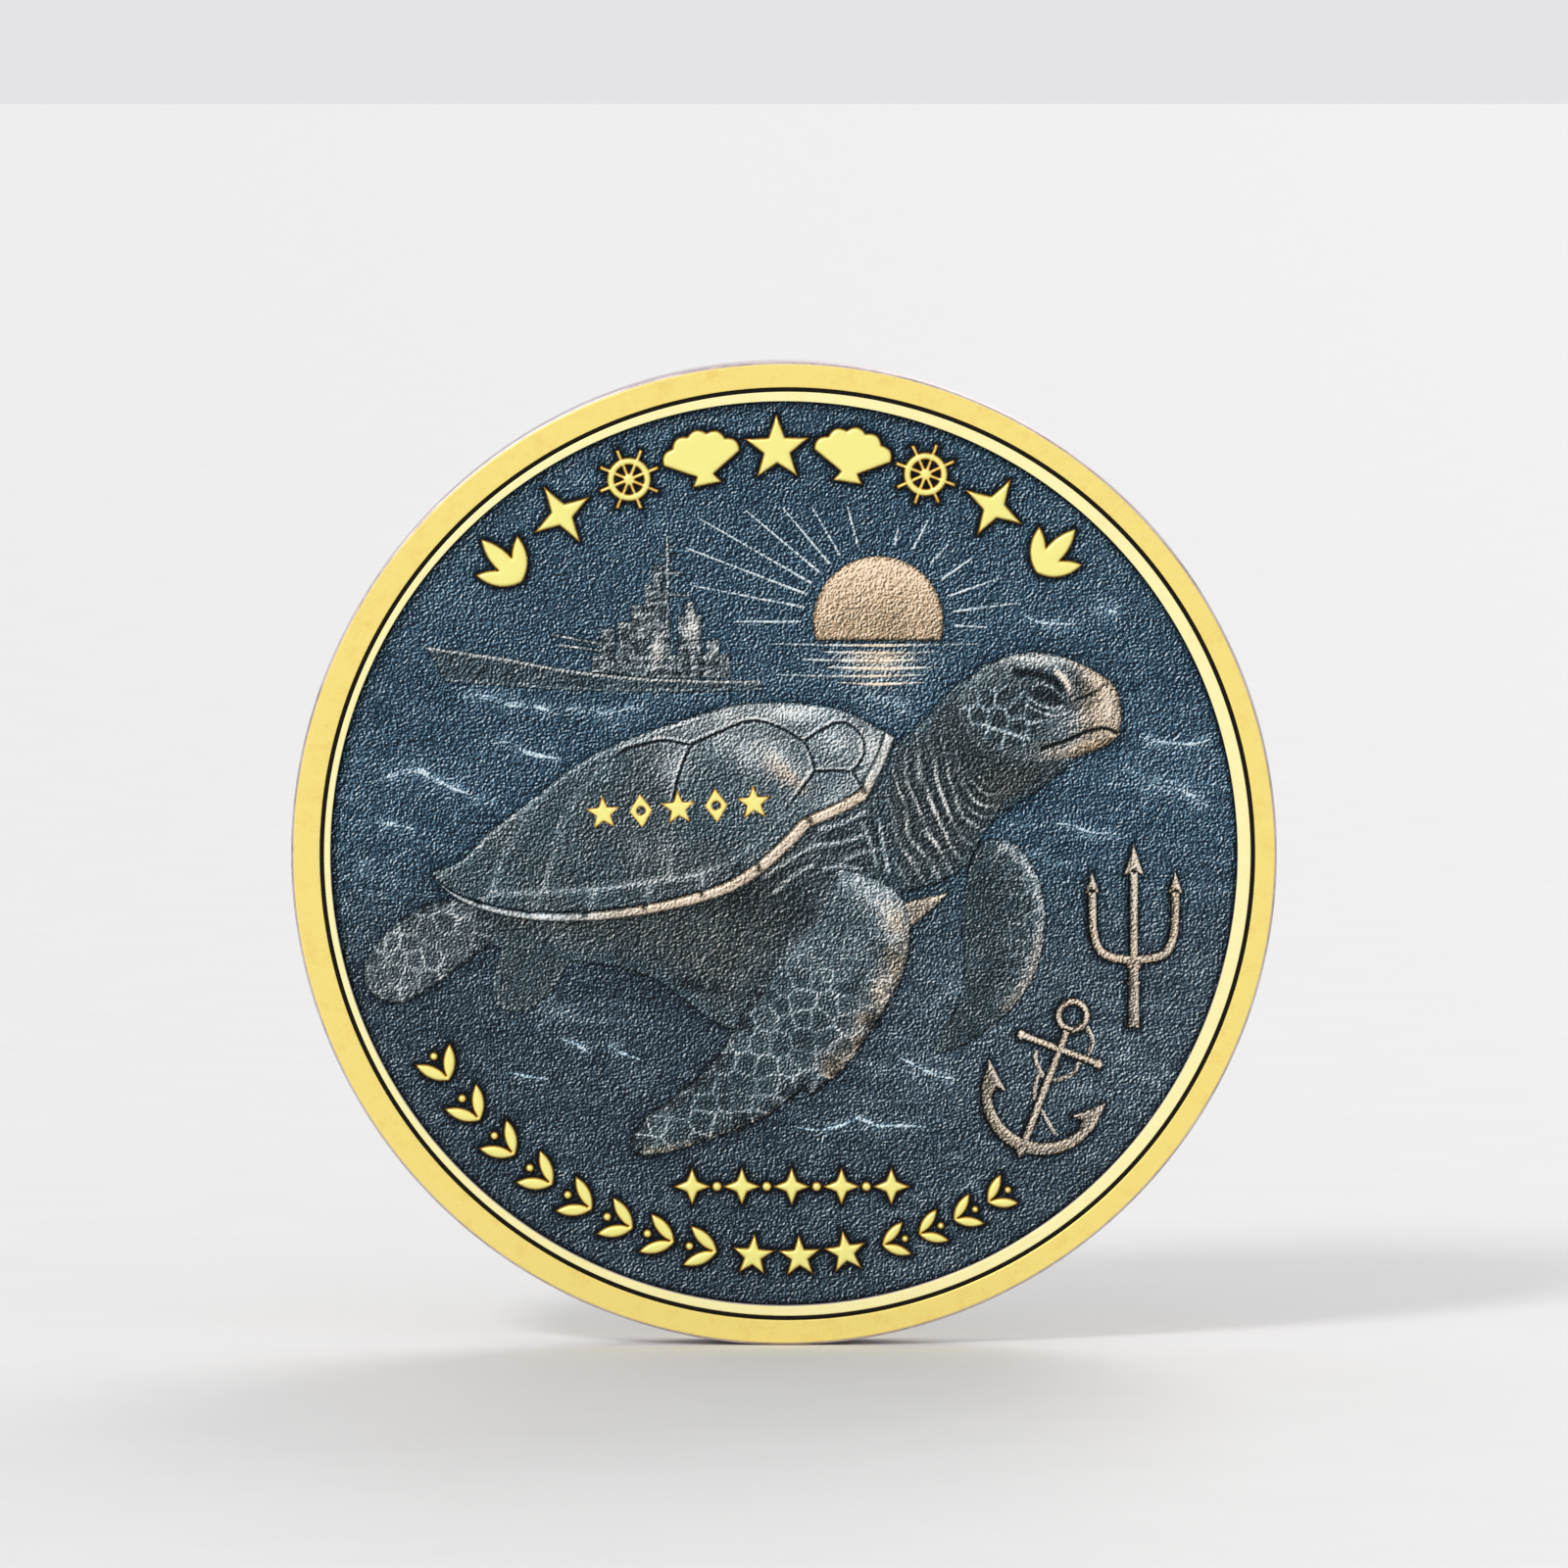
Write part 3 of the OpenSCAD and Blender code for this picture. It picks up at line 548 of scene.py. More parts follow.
class Nodes:
    """Short way to add and join the nodes of one material."""

    def __init__(self, name):
        self.material = bpy.data.materials.new(name)
        self.material.use_nodes = True
        self.tree = self.material.node_tree
        self.shader = self.tree.nodes["Principled BSDF"]
        scale = self.add("VectorMath", Vector=self.add("TexCoord").outputs["Object"])
        scale.operation = "SCALE"
        scale.inputs["Scale"].default_value = 1 / MM
        self.mm = scale.outputs[0]

    def put(self, socket, value):
        """Sets a socket to a constant, or joins it to another node's output."""
        if isinstance(value, bpy.types.NodeSocket):
            self.tree.links.new(value, socket)
        else:
            socket.default_value = value

    def add(self, kind, **inputs):
        """A new node; each input is named as in Blender, with _ for a space."""
        node = self.tree.nodes.new("ShaderNode" + kind)
        for name, value in inputs.items():
            self.put(node.inputs[name.replace("_", " ")], value)
        return node

    def noise(self, size, detail=2.0, rough=0.55, stretch=None, turn=0.0, shift=(0, 0, 0)):
        """Noise from 0 to 1 with lumps of about size mm, stretched and turned in the face if asked."""
        source = self.mm
        if stretch:
            turned_by = (0, math.radians(turn), 0)
            mapping = self.add("Mapping", Vector=source, Scale=stretch, Rotation=turned_by)
            mapping.vector_type = "TEXTURE"
            mapping.inputs["Location"].default_value = shift
            source = mapping.outputs[0]
        node = self.add("TexNoise", Vector=source, Scale=1 / size, Detail=detail, Roughness=rough)
        return node.outputs["Fac"]

    def grain(self):
        """Struck stipple in slanting strokes, with painted light and painted shade on its sides as if lit
        from the upper left: about -0.4 to 0.4.
        """
        painted_light = self.noise(GRAIN_SIZE, 1.5, 0.5, GRAIN_STRETCH, GRAIN_TURN)
        painted_shade = self.noise(GRAIN_SIZE, 1.5, 0.5, GRAIN_STRETCH, GRAIN_TURN, GRAIN_SHIFT)
        return self.math("SUBTRACT", painted_light, painted_shade)

    def attribute(self, name):
        node = self.add("Attribute")
        node.attribute_name = name
        return node.outputs["Fac"]

    def math(self, operation, *values):
        node = self.add("Math")
        node.operation = operation
        for socket, value in zip(node.inputs, values):
            self.put(socket, value)
        return node.outputs[0]

    def spread(self, value, low, high):
        """Noise, which stays near 0.5, spread out from low to high."""
        node = self.add("MapRange", Value=value, From_Min=0.3, From_Max=0.7, To_Min=low, To_Max=high)
        return node.outputs[0]

    def ramp(self, value, stops):
        """Colour ramp; each stop is a place and a colour."""
        node = self.add("ValToRGB", Fac=value)
        elements = node.color_ramp.elements
        while len(elements) < len(stops):
            elements.new(0.5)
        for element, (place, colour) in zip(elements, stops):
            element.position = place
            element.color = colour
        return node.outputs[0]

    def mix(self, factor, a, b):
        node = self.add("Mix", Factor=factor)
        node.data_type = "RGBA"
        self.put(node.inputs[6], a)
        self.put(node.inputs[7], b)
        return node.outputs[2]

    def bump(self, heights, strengths):
        """Bumps stacked on each other; strengths are in millimetres."""
        node = None
        for height, strength in zip(heights, strengths):
            below = {"Normal": node.outputs[0]} if node else {}
            node = self.add("Bump", Distance=strength * MM, Height=height, **below)
        self.put(self.shader.inputs["Normal"], node.outputs[0])

    def finish(self, colour, metallic, roughness):
        for name, value in (("Base Color", colour), ("Metallic", metallic), ("Roughness", roughness)):
            self.put(self.shader.inputs[name], value)
        return self.material


COOL = [(0.0, srgb(3, 7, 10)), (0.28, srgb(24, 38, 44)), (0.55, srgb(73, 95, 105)),
        (0.8, srgb(156, 173, 179)), (1.0, srgb(240, 243, 242))]
WARM = [(0.0, srgb(10, 9, 6)), (0.28, srgb(48, 46, 36)), (0.55, srgb(130, 114, 90)),
        (0.8, srgb(214, 180, 142)), (1.0, srgb(254, 234, 204))]
SEA = [(0.0, srgb(2, 8, 14)), (0.28, srgb(14, 36, 52)), (0.55, srgb(58, 91, 112)),
       (0.8, srgb(138, 170, 187)), (1.0, srgb(226, 240, 244))]
# The grain's painted light and painted shade are one noise and a copy of it moved by GRAIN_SHIFT
GRAIN_SIZE = 0.108
GRAIN_STRETCH = (1.12, 1, 0.95)
GRAIN_TURN = -45
GRAIN_SHIFT = (-0.052, 0, 0.042)


def patina(name, cool=COOL, warm=WARM, grain=1.9, metallic=0.2, roughness=0.55, bump=0.018):
    """Antiqued relief: tone and warmth painted on the piece, the tone holding patina, painted highlights and
    painted shade, broken up by the struck grain with its painted light and shade.
    """
    n = Nodes(name)
    fine = n.noise(GRAIN_SIZE, 1.5, 0.5, GRAIN_STRETCH, GRAIN_TURN)
    coarse = n.noise(1.1, 3.0)
    tone = n.math("MULTIPLY_ADD", n.grain(), grain, n.attribute("tone"))
    tone = n.math("ADD", tone, n.spread(coarse, -0.04, 0.04))
    colour = n.mix(n.attribute("warm"), n.ramp(tone, cool), n.ramp(tone, warm))
    n.bump([fine], [bump])
    n.shader.inputs["Specular IOR Level"].default_value = 0.15
    return n.finish(colour, metallic, n.spread(fine, roughness + 0.1, roughness - 0.1))


def gold(name, light, deep, dark, roughness=0.4, metallic=0.6, mottling=0.05):
    """Satin gold plating, faintly mottled, with dark antiquing low on the sides."""
    n = Nodes(name)
    mottle = n.noise(0.9, 4.0, 0.65)
    fine = n.noise(0.12, 2.0, 0.6)
    value = n.math("ADD", n.attribute("tone"), n.spread(mottle, -mottling, mottling))
    value = n.math("ADD", value, n.spread(fine, -mottling / 2, mottling / 2))
    colour = n.ramp(value, [(0.0, dark), (0.3, deep), (0.5, light), (1.0, light)])
    n.bump([fine, mottle], [0.004, 0.006])
    return n.finish(colour, metallic, n.spread(fine, roughness - 0.06, roughness + 0.06))


def enamel(name, stops, roughness=0.3):
    """Hard enamel with fine pits."""
    n = Nodes(name)
    fine = n.noise(0.15, 3.0, 0.6)
    colour = n.ramp(fine, stops)
    n.bump([fine], [0.01])
    n.shader.inputs["Specular IOR Level"].default_value = 0.15
    return n.finish(colour, 0.0, n.spread(fine, roughness - 0.08, roughness + 0.12))


def edge_metal(name):
    """Silver-grey edge, finely turned round the coin, with nicks."""
    n = Nodes(name)
    lines = n.noise(0.06, 2.0, 0.6, (40, 1, 40))
    nicks = n.noise(0.5, 4.0, 0.7)
    value = n.math("ADD", n.math("MULTIPLY", lines, 0.6), n.math("MULTIPLY", nicks, 0.4))
    colour = n.ramp(value, [(0.3, srgb(150, 138, 138)), (0.5, srgb(206, 192, 190)),
                            (0.7, srgb(228, 218, 212))])
    n.bump([lines, nicks], [0.006, 0.01])
    return n.finish(colour, 0.7, n.spread(lines, 0.34, 0.5))


M = {
    "pewter": patina("antiqued_pewter"),
    "bronze": patina("antiqued_bronze", grain=1.3, metallic=0.3, roughness=0.5),
    "sun": patina("sandy_bronze", grain=1.7, metallic=0.1, roughness=0.6, bump=0.015),
    "sea": patina("navy_enamel_grain", cool=SEA, grain=2.1, metallic=0.1, roughness=0.5, bump=0.02),
    "gold": gold("satin_gold", srgb(255, 232, 132), srgb(240, 190, 88), srgb(70, 44, 14)),
    "ornament": gold("ornament_gold", srgb(255, 246, 146), srgb(222, 164, 60), srgb(34, 20, 10), 0.36, 0.5),
    "pale": gold("pale_gold", srgb(255, 246, 180), srgb(252, 226, 138), srgb(80, 56, 24), 0.42, 0.3, 0.05),
    "black": enamel("black_enamel", [(0.3, srgb(5, 2, 1)), (0.7, srgb(20, 12, 4))]),
    "edge": edge_metal("edge_silver"),
}


# ---------- Rings, field and edge ----------


# The blank is meshed as a ring whose hole is too small to see
HOLE_R = 0.01
GROOVE_DEPTH = 0.12


def coin_core():
    """The blank: its edge with rounded corners, both rims and both recesses."""
    corner = COIN_R - BAND_R
    round_corner = [(COIN_R - corner * (1 - math.sin(a)), SEAT_Z - corner * (1 - math.cos(a)))
                    for a in np.linspace(0, math.pi / 2, 5)]
    half = [(2 * HOLE_R, FLOOR_Z), (FIELD_R, FLOOR_Z), (FIELD_R, SEAT_Z)] + round_corner
    path = half + [(r, -z) for r, z in reversed(half)]
    profile = [(0, r - HOLE_R, z) for r, z in path]
    data = ring_mesh((0, HOLE_R), (0, COIN_R), profile, segments=720)
    piece("coin_core", data, "edge", ["coin_blank"])


def flat_ring_profile(low, high, fillet):
    """Ring section with two rounded top corners."""
    k = fillet * (1 - math.sqrt(0.5))
    inner = [(0, 0, low), (0, 0, high - fillet), (0, k, high - k), (0, fillet, high), (0, 2.2 * fillet, high)]
    return inner + [(1, d, z) for _, d, z in reversed(inner)]


def face_rings(side, back):
    """Gold band, enamel line and inner ring of one face."""
    band_profile = flat_ring_profile(SEAT_Z, RIM_Z, fillet=0.035)
    band_data = ring_mesh((GROOVE_X, GROOVE_R), (0, BAND_R), band_profile, wobble=0.003)
    piece(side + "_rim_band", band_data, "gold", [side + "_gold_band"], back)
    line_top = top_z("front_enamel_groove")
    line_profile = flat_ring_profile(SEAT_Z - GROOVE_DEPTH, line_top, fillet=0.02)
    line_data = ring_mesh((GROOVE_X, RING_R), (GROOVE_X, GROOVE_R), line_profile)
    piece(side + "_enamel_line", line_data, "black", [side + "_enamel_groove"], back)
    ring_profile = flat_ring_profile(SEAT_Z, top_z("front_inner_ring"), fillet=0.03)
    ring_data = ring_mesh((0, FIELD_R), (GROOVE_X, RING_R), ring_profile)
    piece(side + "_pale_ring", ring_data, "pale", [side + "_inner_ring"], back)


# ---------- Turtle outlines ----------

CARAPACE = outline(
    [(-15.9, -0.8), (-14.6, -0.3), (-13.4, 0.9), (-11.6, 2.3), (-9.4, 4), (-7.4, 5.05), (-4.6, 6.05),
     (-2.2, 6.75), (0.2, 6.85), (2.6, 6.5), (5, 5.3)],
    [(5, 5.3), (4.5, 4), (3.7, 2.45)],
    [(3.7, 2.45), (2.5, 1.8), (1.2, 1.25)],
    [(1.2, 1.25), (0.2, 0.2), (-1.1, -0.95), (-2.6, -1.8), (-4.6, -2.4), (-7, -2.85), (-9.5, -3.05),
     (-12, -2.9), (-14.2, -2.3), (-15.4, -1.5), (-15.9, -0.8)],
)
HEAD = outline(
    [(7.85, 7.2), (8.6, 8.2), (9.7, 8.8), (11.2, 9.15), (12.6, 8.9), (14, 8.3), (14.9, 7.6), (15.2, 6.6),
     (15.15, 5.4)],
    [(15.15, 5.4), (14.6, 4.95), (13.4, 4.45), (12.2, 4.15), (11, 3.85)],
    [(11, 3.85), (10, 4.1), (9, 4.7), (8.2, 5.6), (7.8, 6.4), (7.85, 7.2)],
)
NECK = outline(
    [(4.9, 4.9), (5.8, 5.6), (6.8, 6.6), (7.6, 7.5), (8.6, 8.2)],
    [(8.6, 8.2), (11, 6), (13.2, 4.4)],
    [(13.2, 4.4), (12.4, 3.6), (11.2, 2.7), (10.1, 2), (9.3, 1.3), (8.8, 0.5), (8.4, -0.4)],
    [(8.4, -0.4), (7.4, -1.1), (6.3, -1.5), (5.2, -1.7)],
    [(5.2, -1.7), (4.7, 0.4), (4.3, 2.6), (4.9, 4.9)],
)
BODY = outline(
    [(-14.5, -2.1), (-13.4, -4), (-12, -4.4), (-9.6, -4.85), (-7.6, -5.1), (-5.8, -5.7), (-4.4, -6.7),
     (-3.2, -7.6), (-2.2, -8)],
    [(-2.2, -8), (1, -4.5), (5.3, -1.8)],
    [(5.3, -1.8), (5.2, 1.6), (5, 5)],
    [(5, 5), (-5, 1), (-14.5, -2.1)],
)
FRONT_FLIPPER = outline(
    [(2.4, -0.6), (3.8, -0.95), (4.9, -1.55), (5.6, -2.4), (5.75, -3.4), (5.5, -5), (4.8, -6.6),
     (3.9, -8.1), (2.7, -9.7), (1.2, -10.9)],
    [(1.2, -10.9), (0.9, -10.5)],
    [(0.9, -10.5), (-0.3, -11.5), (-1.9, -12.4), (-3.6, -13), (-5.2, -13.5), (-6.4, -13.65),
     (-6.95, -13.3), (-6.8, -12.6), (-6.1, -11.8), (-4.9, -10.9), (-3.8, -10), (-2.9, -9),
     (-2.2, -7.8), (-1.5, -6.5), (-0.8, -5.2), (0.1, -4), (1.1, -3.1), (1.6, -2.2), (1.9, -1.2),
     (2.4, -0.6)],
)
CLAW = outline(
    [(5.3, -2.2), (6.4, -1.95), (7.4, -1.75)],
    [(7.4, -1.75), (6.8, -2.4), (5.6, -3.4)],
    [(5.6, -3.4), (5.3, -2.2)],
)
FAR_FLIPPER = outline(
    [(9.3, 0.7), (10.2, 0.65), (11, -0.1), (11.6, -1.4), (11.85, -2.9), (11.6, -4.6), (11, -6.1),
     (9.9, -7.4), (8.4, -8.5), (7.2, -9), (6.75, -8.8), (7.2, -7.9), (7.9, -6.6), (8.1, -4.9),
     (8, -3), (8.2, -1.2), (8.6, 0.1), (9.3, 0.7)],
)
REAR_FLIPPER = outline(
    [(-13.4, -2.4), (-14.6, -2.1), (-15.8, -2.2), (-17, -2.8), (-18.2, -3.8), (-18.95, -5.1),
     (-18.7, -6.2), (-17.6, -6.75), (-16.4, -6.35), (-15.3, -5.6), (-14.5, -4.9), (-13.3, -4.15)],
    [(-13.3, -4.15), (-13, -3.3), (-13.4, -2.4)],
)
FAR_REAR_FLIPPER = outline(
    [(-9.3, -4), (-9.7, -5), (-10.5, -6.2), (-11.4, -7), (-12.4, -7.15), (-13.15, -6.6),
     (-13.1, -5.4), (-12.7, -4)],
    [(-12.7, -4), (-9.3, -4)],
)
SCUTE_SEAMS = [
    [(-7, 4.8), (-5.5, 5.15), (-4.2, 4.95)],
    [(-4.2, 4.95), (-3, 5.5), (-1.5, 6.05), (-0.2, 5.75), (0.9, 5.1)],
    [(0.9, 5.1), (1.9, 5.75), (2.8, 5.95), (3.5, 5.3), (3.6, 4.5), (3.1, 3.75)],
    [(0.9, 5.1), (1.2, 4.5), (1.4, 3.75)],
    [(3.1, 3.75), (2.2, 3.8), (1.4, 3.75)],
    [(1.4, 3.75), (0.9, 3.1), (0.4, 2.4)],
    [(0.4, 2.4), (-0.6, 1.3), (-1.6, 0.3), (-3.8, -0.85), (-6, -1.2), (-8, -1.5), (-10, -1.65),
     (-13.2, -1.75)],
    [(-7, 4.8), (-8.3, 3.9), (-9.4, 2.6), (-10.2, 0.9), (-10.5, -0.3), (-10.9, -1.65)],
    [(-4.2, 4.95), (-4.8, 3.4), (-5.1, 1.5), (-5.15, -1.05)],
    [(-11.2, 2.3), (-12.2, 0.9), (-12.8, -0.4), (-13.2, -1.75)],
]
MARGINAL_SEAMS = [
    [(0.4, 2.4), (1.2, 1.5)],
    [(-1.5, 0.4), (-1.1, -0.7)],
    [(-3.7, -0.9), (-3.7, -1.8)],
    [(-6, -1.2), (-6.3, -2.4)],
    [(-8.5, -1.6), (-9, -2.7)],
    [(-10.9, -1.7), (-11.5, -2.6)],
    [(-13.2, -1.75), (-13.8, -2.2)],
    [(3.1, 3.75), (3.6, 2.9)],
]
# The bright edge is what shows past a copy of the carapace moved up and back
MOVED_CARAPACE = CARAPACE.moved(-0.35, 0.42)
# What lies in front of the ship and of the ripples
COVER = CARAPACE | HEAD | NECK


# ---------- Turtle sculpting ----------

# Each sculpt function takes the points of a piece and their distance from its edge, and gives
# the height above the field, the tone (0 dark, 1 bright) and the warmth (0 cool, 1 warm).


def seam_gap(p):
    """Distance from each point to the nearest seam of the carapace."""
    return np.min([near_line(p, line)[0] for line in SCUTE_SEAMS + MARGINAL_SEAMS], axis=0)


def sculpt_carapace(p, d):
    x, y = p.T
    gap = seam_gap(p)
    # Painted highlight on the upper-left side of each seam
    painted_lit_side = bell(seam_gap(p + [0.1, -0.11]), 0.075)
    seam = bell(gap, 0.07)
    z = 0.12 + 0.22 * dome(d, 2.6) + 0.035 * soft_step(gap / 0.7) - 0.06 * seam
    z += 0.006 * rough(p, 0.5, 3)
    # Painted highlights, mostly on the upper right of the shell
    lights = spots(p, [
        (-4.9, 4.1, 0.9, 0.9, 0, 0.22), (-2.7, 5.0, 0.9, 0.5, 20, 0.16), (-0.9, 4.5, 1.7, 0.8, -25, 0.3),
        (0.2, 3.7, 1.2, 0.4, -40, 0.12), (0.4, 6.4, 2.4, 0.4, 0, 0.36), (-3.4, 6.0, 1.8, 0.35, 20, 0.2),
        (2.3, 5.0, 0.9, 0.7, -20, 0.24), (4.2, 5.0, 0.6, 0.5, -30, 0.32), (4.15, 4.0, 0.42, 1.2, 20, 0.36),
        (2.6, 2.6, 1.3, 0.5, 28, 0.26), (-0.1, 0.6, 1.2, 0.4, 45, 0.1), (-6.6, 0.2, 0.35, 0.7, 0, 0.12),
        (-5.6, 0.1, 0.3, 0.9, 0, 0.1),
    ])
    # Painted light, brighter towards the upper right
    painted_upper_right_light = 0.12 * soft_step((x + 9) / 12) * soft_step((y + 1) / 5)
    upper = soft_step((y - 1.6) / 1.5) * soft_step((x + 8.5) / 2)
    faint = 0.5 + 0.5 * bell(y + 1.2, 1.1)
    lines = upper * (0.34 * painted_lit_side - 0.44 * seam) + (1 - upper) * faint * 0.68 * seam
    back_line = bell(d - 0.1, 0.13) * soft_step((-2 - x) / 3) * soft_step((y + 1.2) / 0.8)
    tone = 0.385 + painted_upper_right_light + lights * (1 + 0.4 * noise(p, 0.8, 5)) + lines + 0.26 * back_line
    warm = 0.06 + 0.1 * noise(p, 2.5, 8) + 0.5 * blob(p, 0.1, 3.6, 1.2, 0.4, -40)
    return z, tone, warm


def sculpt_carapace_rim(p, d):
    x, y = p.T
    z = 0.16 + 0.22 * dome(d, 0.22) + 0.006 * rough(p, 0.4, 4)
    notch = np.min([near_line(p, line)[0] for line in MARGINAL_SEAMS], axis=0)
    z -= 0.05 * bell(notch, 0.13)
    # Worn bronze lip with a painted highlight, brighter towards the right and darker at the left end
    tone = 0.6 + 0.12 * soft_step((x + 7) / 6) - 0.12 * soft_step((-13.2 - x) / 2)
    tone = tone - 0.4 * bell(notch, 0.16) + 0.1 * noise(p, 0.9, 9)
    warm = 0.1 + 0.6 * soft_step((x + 11) / 5) * (1 - 0.75 * soft_step((y - 2.6) / 0.9))
    return z, tone, warm


CHEEK_SCALES = [
    (9.65, 6.15), (9.1, 7.05), (9.95, 7.05), (8.7, 6.3), (10.6, 5.8), (10.45, 6.55), (11.35, 5.6),
    (9.4, 5.2), (8.4, 7.1), (10.3, 4.95), (8.7, 5.45), (11.2, 6.35), (9.5, 7.9), (8.0, 6.2), (11.2, 4.8),
]


def sculpt_head(p, d):
    x, y = p.T
    z = 0.08 + 0.24 * dome(d, 1.5)
    eye = blob(p, 11.87, 7.2, 0.72, 0.3, -22)
    z += 0.05 * ridge(p, [(9.9, 8.0), (10.9, 8.55), (12.1, 8.45), (13.1, 7.7)], 0.26)
    z += 0.05 * blob(p, 14.4, 6.7, 0.8, 1.3) - 0.05 * eye + 0.05 * blob(p, 11.9, 7.2, 0.4, 0.18, -22)
    lids = ridges(p, [[(10.95, 7.2), (11.3, 6.86), (12, 6.6), (12.7, 6.72)],
                      [(10.85, 6.85), (11.4, 6.5), (12.1, 6.3), (12.9, 6.45)]], 0.07)
    upper_lid = ridge(p, [(11.1, 7.5), (11.6, 7.68), (12.2, 7.45), (12.65, 7)], 0.07)
    brow = ridge(p, [(10.15, 8.3), (10.9, 8.2), (11.6, 8.1), (12.2, 7.85), (12.7, 7.25)], 0.2)
    # Painted highlight along the right end of the brow
    brow_painted_highlight = ridge(p, [(12, 8.4), (12.4, 8.15), (12.72, 7.75), (12.95, 7.15)], 0.17, 0.3)
    lips = [(11.5, 4.75), (12.7, 5.15), (13.5, 5.5), (14.2, 5.7), (14.7, 5.65), (15.1, 5.4)]
    mouth = ridge(p, lips, 0.085, 0.05)
    nostril = ridge(p, [(13, 6.95), (13.7, 7.2), (14.2, 7.45), (14.7, 7.85)], 0.08)
    z += 0.03 * lids + 0.02 * upper_lid + 0.05 * brow_painted_highlight
    z -= 0.08 * mouth + 0.04 * nostril + 0.05 * brow
    border = placed_cells(p, CHEEK_SCALES)
    rosette = np.hypot((x - 9.8) / 1.95, (y - 6.15) / 1.4)
    cheek = soft_step((1.12 - rosette) / 0.25)
    line = bell(border, 0.09) * cheek
    z += cheek * 0.04 * soft_step(border / 0.25) + 0.015 * line
    small, _ = cells(p, 0.5, 12)
    z += 0.012 * soft_step(small / 0.12) * (1 - cheek) + 0.006 * rough(p, 0.35, 13)
    # Painted highlights on the crown, beak, jaw and cheek
    lights = spots(p, [
        (11.6, 8.82, 2.0, 0.28, -3, 0.42), (13.9, 7.95, 0.9, 0.32, -38, 0.36), (14.6, 6.7, 0.5, 1.1, 8, 0.36),
        (13.5, 6.2, 1.2, 0.5, 15, 0.26), (13.6, 5.05, 1.2, 0.24, 20, 0.28), (12.3, 4.6, 0.8, 0.2, 14, 0.16),
        (9.0, 8.2, 0.8, 0.25, 40, 0.1), (10.45, 5.45, 0.4, 0.1, -10, 0.3), (9.3, 5.75, 0.35, 0.1, -20, 0.2),
    ])
    # The dark of the eye itself, with painted shade under the brow and in the mouth, nostril and cheek
    shade = 0.36 * eye + 0.45 * mouth + 0.3 * brow + 0.3 * nostril + 0.17 * cheek
    shade = shade + 0.12 * blob(p, 13.3, 7.75, 0.5, 0.35, -40)
    tone = 0.42 + lights + 0.5 * line + 0.26 * lids + 0.2 * upper_lid + 0.5 * brow_painted_highlight - shade
    warm = 0.06 + 0.65 * soft_step((x - 12.4) / 1.8) + 0.12 * soft_step((y - 8.2) / 0.6) + 0.5 * brow_painted_highlight
    warm = warm + 0.4 * soft_step((5.4 - y) / 0.7) * soft_step((x - 10.5) / 2)
    return z, tone, warm - 0.4 * line


def sculpt_neck(p, d):
    x, y = p.T
    fold_pitch, throat_pitch = 0.56, 0.42
    u = np.hypot(x - 10.5, (y - 5.5) / 1.5) + 0.2 * rough(p, 1.2, 21)
    wave = 0.5 + 0.5 * np.cos(2 * math.pi * u / fold_pitch)
    folded = np.clip(blob(p, 6.5, 1.7, 1.7, 2.5, 8) * 1.2, 0, 1)
    fold = folded * (0.7 + 0.7 * noise(p, 0.8, 23)) * wave ** 3
    v = np.hypot(x - 9.5, (y - 4.2) / 1.2) + 0.12 * rough(p, 0.8, 25)
    throat_wave = 0.5 + 0.5 * np.cos(2 * math.pi * v / throat_pitch)
    throat_fold = blob(p, 8.5, 2.4, 1.1, 1.1) * (0.7 + 0.7 * noise(p, 0.6, 26)) * throat_wave ** 3
    z = 0.02 + 0.22 * dome(d, 1.8) + 0.07 * fold + 0.05 * throat_fold
    z += 0.008 * rough(p, 0.35, 24)
    throat = soft_step((x - 8.2) / 1.5) * soft_step((4.6 - y) / 1.5)
    tone = 0.32 + 0.4 * fold + 0.26 * throat_fold + 0.03 * soft_step((y - 5) / 1.5) - 0.03 * throat
    jaw_line = ridge(p, [(7.9, 6.8), (8.3, 5.6), (9.1, 4.6)], 0.1)
    tone = tone - 0.06 * blob(p, 8.4, 4.4, 0.8, 1.4) + 0.2 * jaw_line
    warm = 0.14 + 0.14 * throat + 0.1 * fold
    return z, tone, warm * soft_step(d / 0.8)


def sculpt_body(p, d):
    x, y = p.T
    z = 0.015 + 0.13 * dome(d, 1.8) + 0.02 * rough(p, 0.9, 31) + 0.01 * rough(p, 0.35, 32)
    folds = ridges(p, [
        [(-1.2, -1.2), (0, -0.4), (1, 0.2), (1.9, 0.5)], [(-0.6, -1.9), (0.4, -1), (1.5, -0.4)],
        [(1.4, 1.1), (2.6, 1.4), (3.8, 2)], [(1, 0.4), (2.4, 0.5), (4, 1)],
        [(2.6, -0.3), (3.6, 0.1), (4.6, 0.3)],
        [(4.2, 1.8), (4.5, 0.4), (4.7, -1)], [(3.5, 1.5), (3.9, 0.5), (4.2, -0.6)],
        [(1.6, -0.7), (2.6, -0.5), (3.6, -0.7)],
    ], 0.12)
    z += 0.04 * folds
    # Painted shade in the armpit and along the lower edge of the belly
    armpit = blob(p, 0.6, -2.4, 0.9, 1.1)
    pit = blob(p, -3.75, -5.95, 1.1, 0.35, -10)
    under_edge = np.exp(-np.clip(-2.4 - y, 0, 9) / 0.5) * soft_step((1 - x) / 2)
    tone = 0.355 + 0.22 * folds - 0.1 * armpit - 0.22 * pit - 0.1 * under_edge + 0.05 * noise(p, 0.9, 33)
    tone = tone + 0.6 * blob(p, -3.5, -5.9, 0.09, 0.13)
    warm = (0.2 - 0.14 * soft_step((x + 0.5) / 2.5)) * soft_step((d - 0.1) / 1.6)
    z = z - 0.03 * pit
    return z, tone, warm


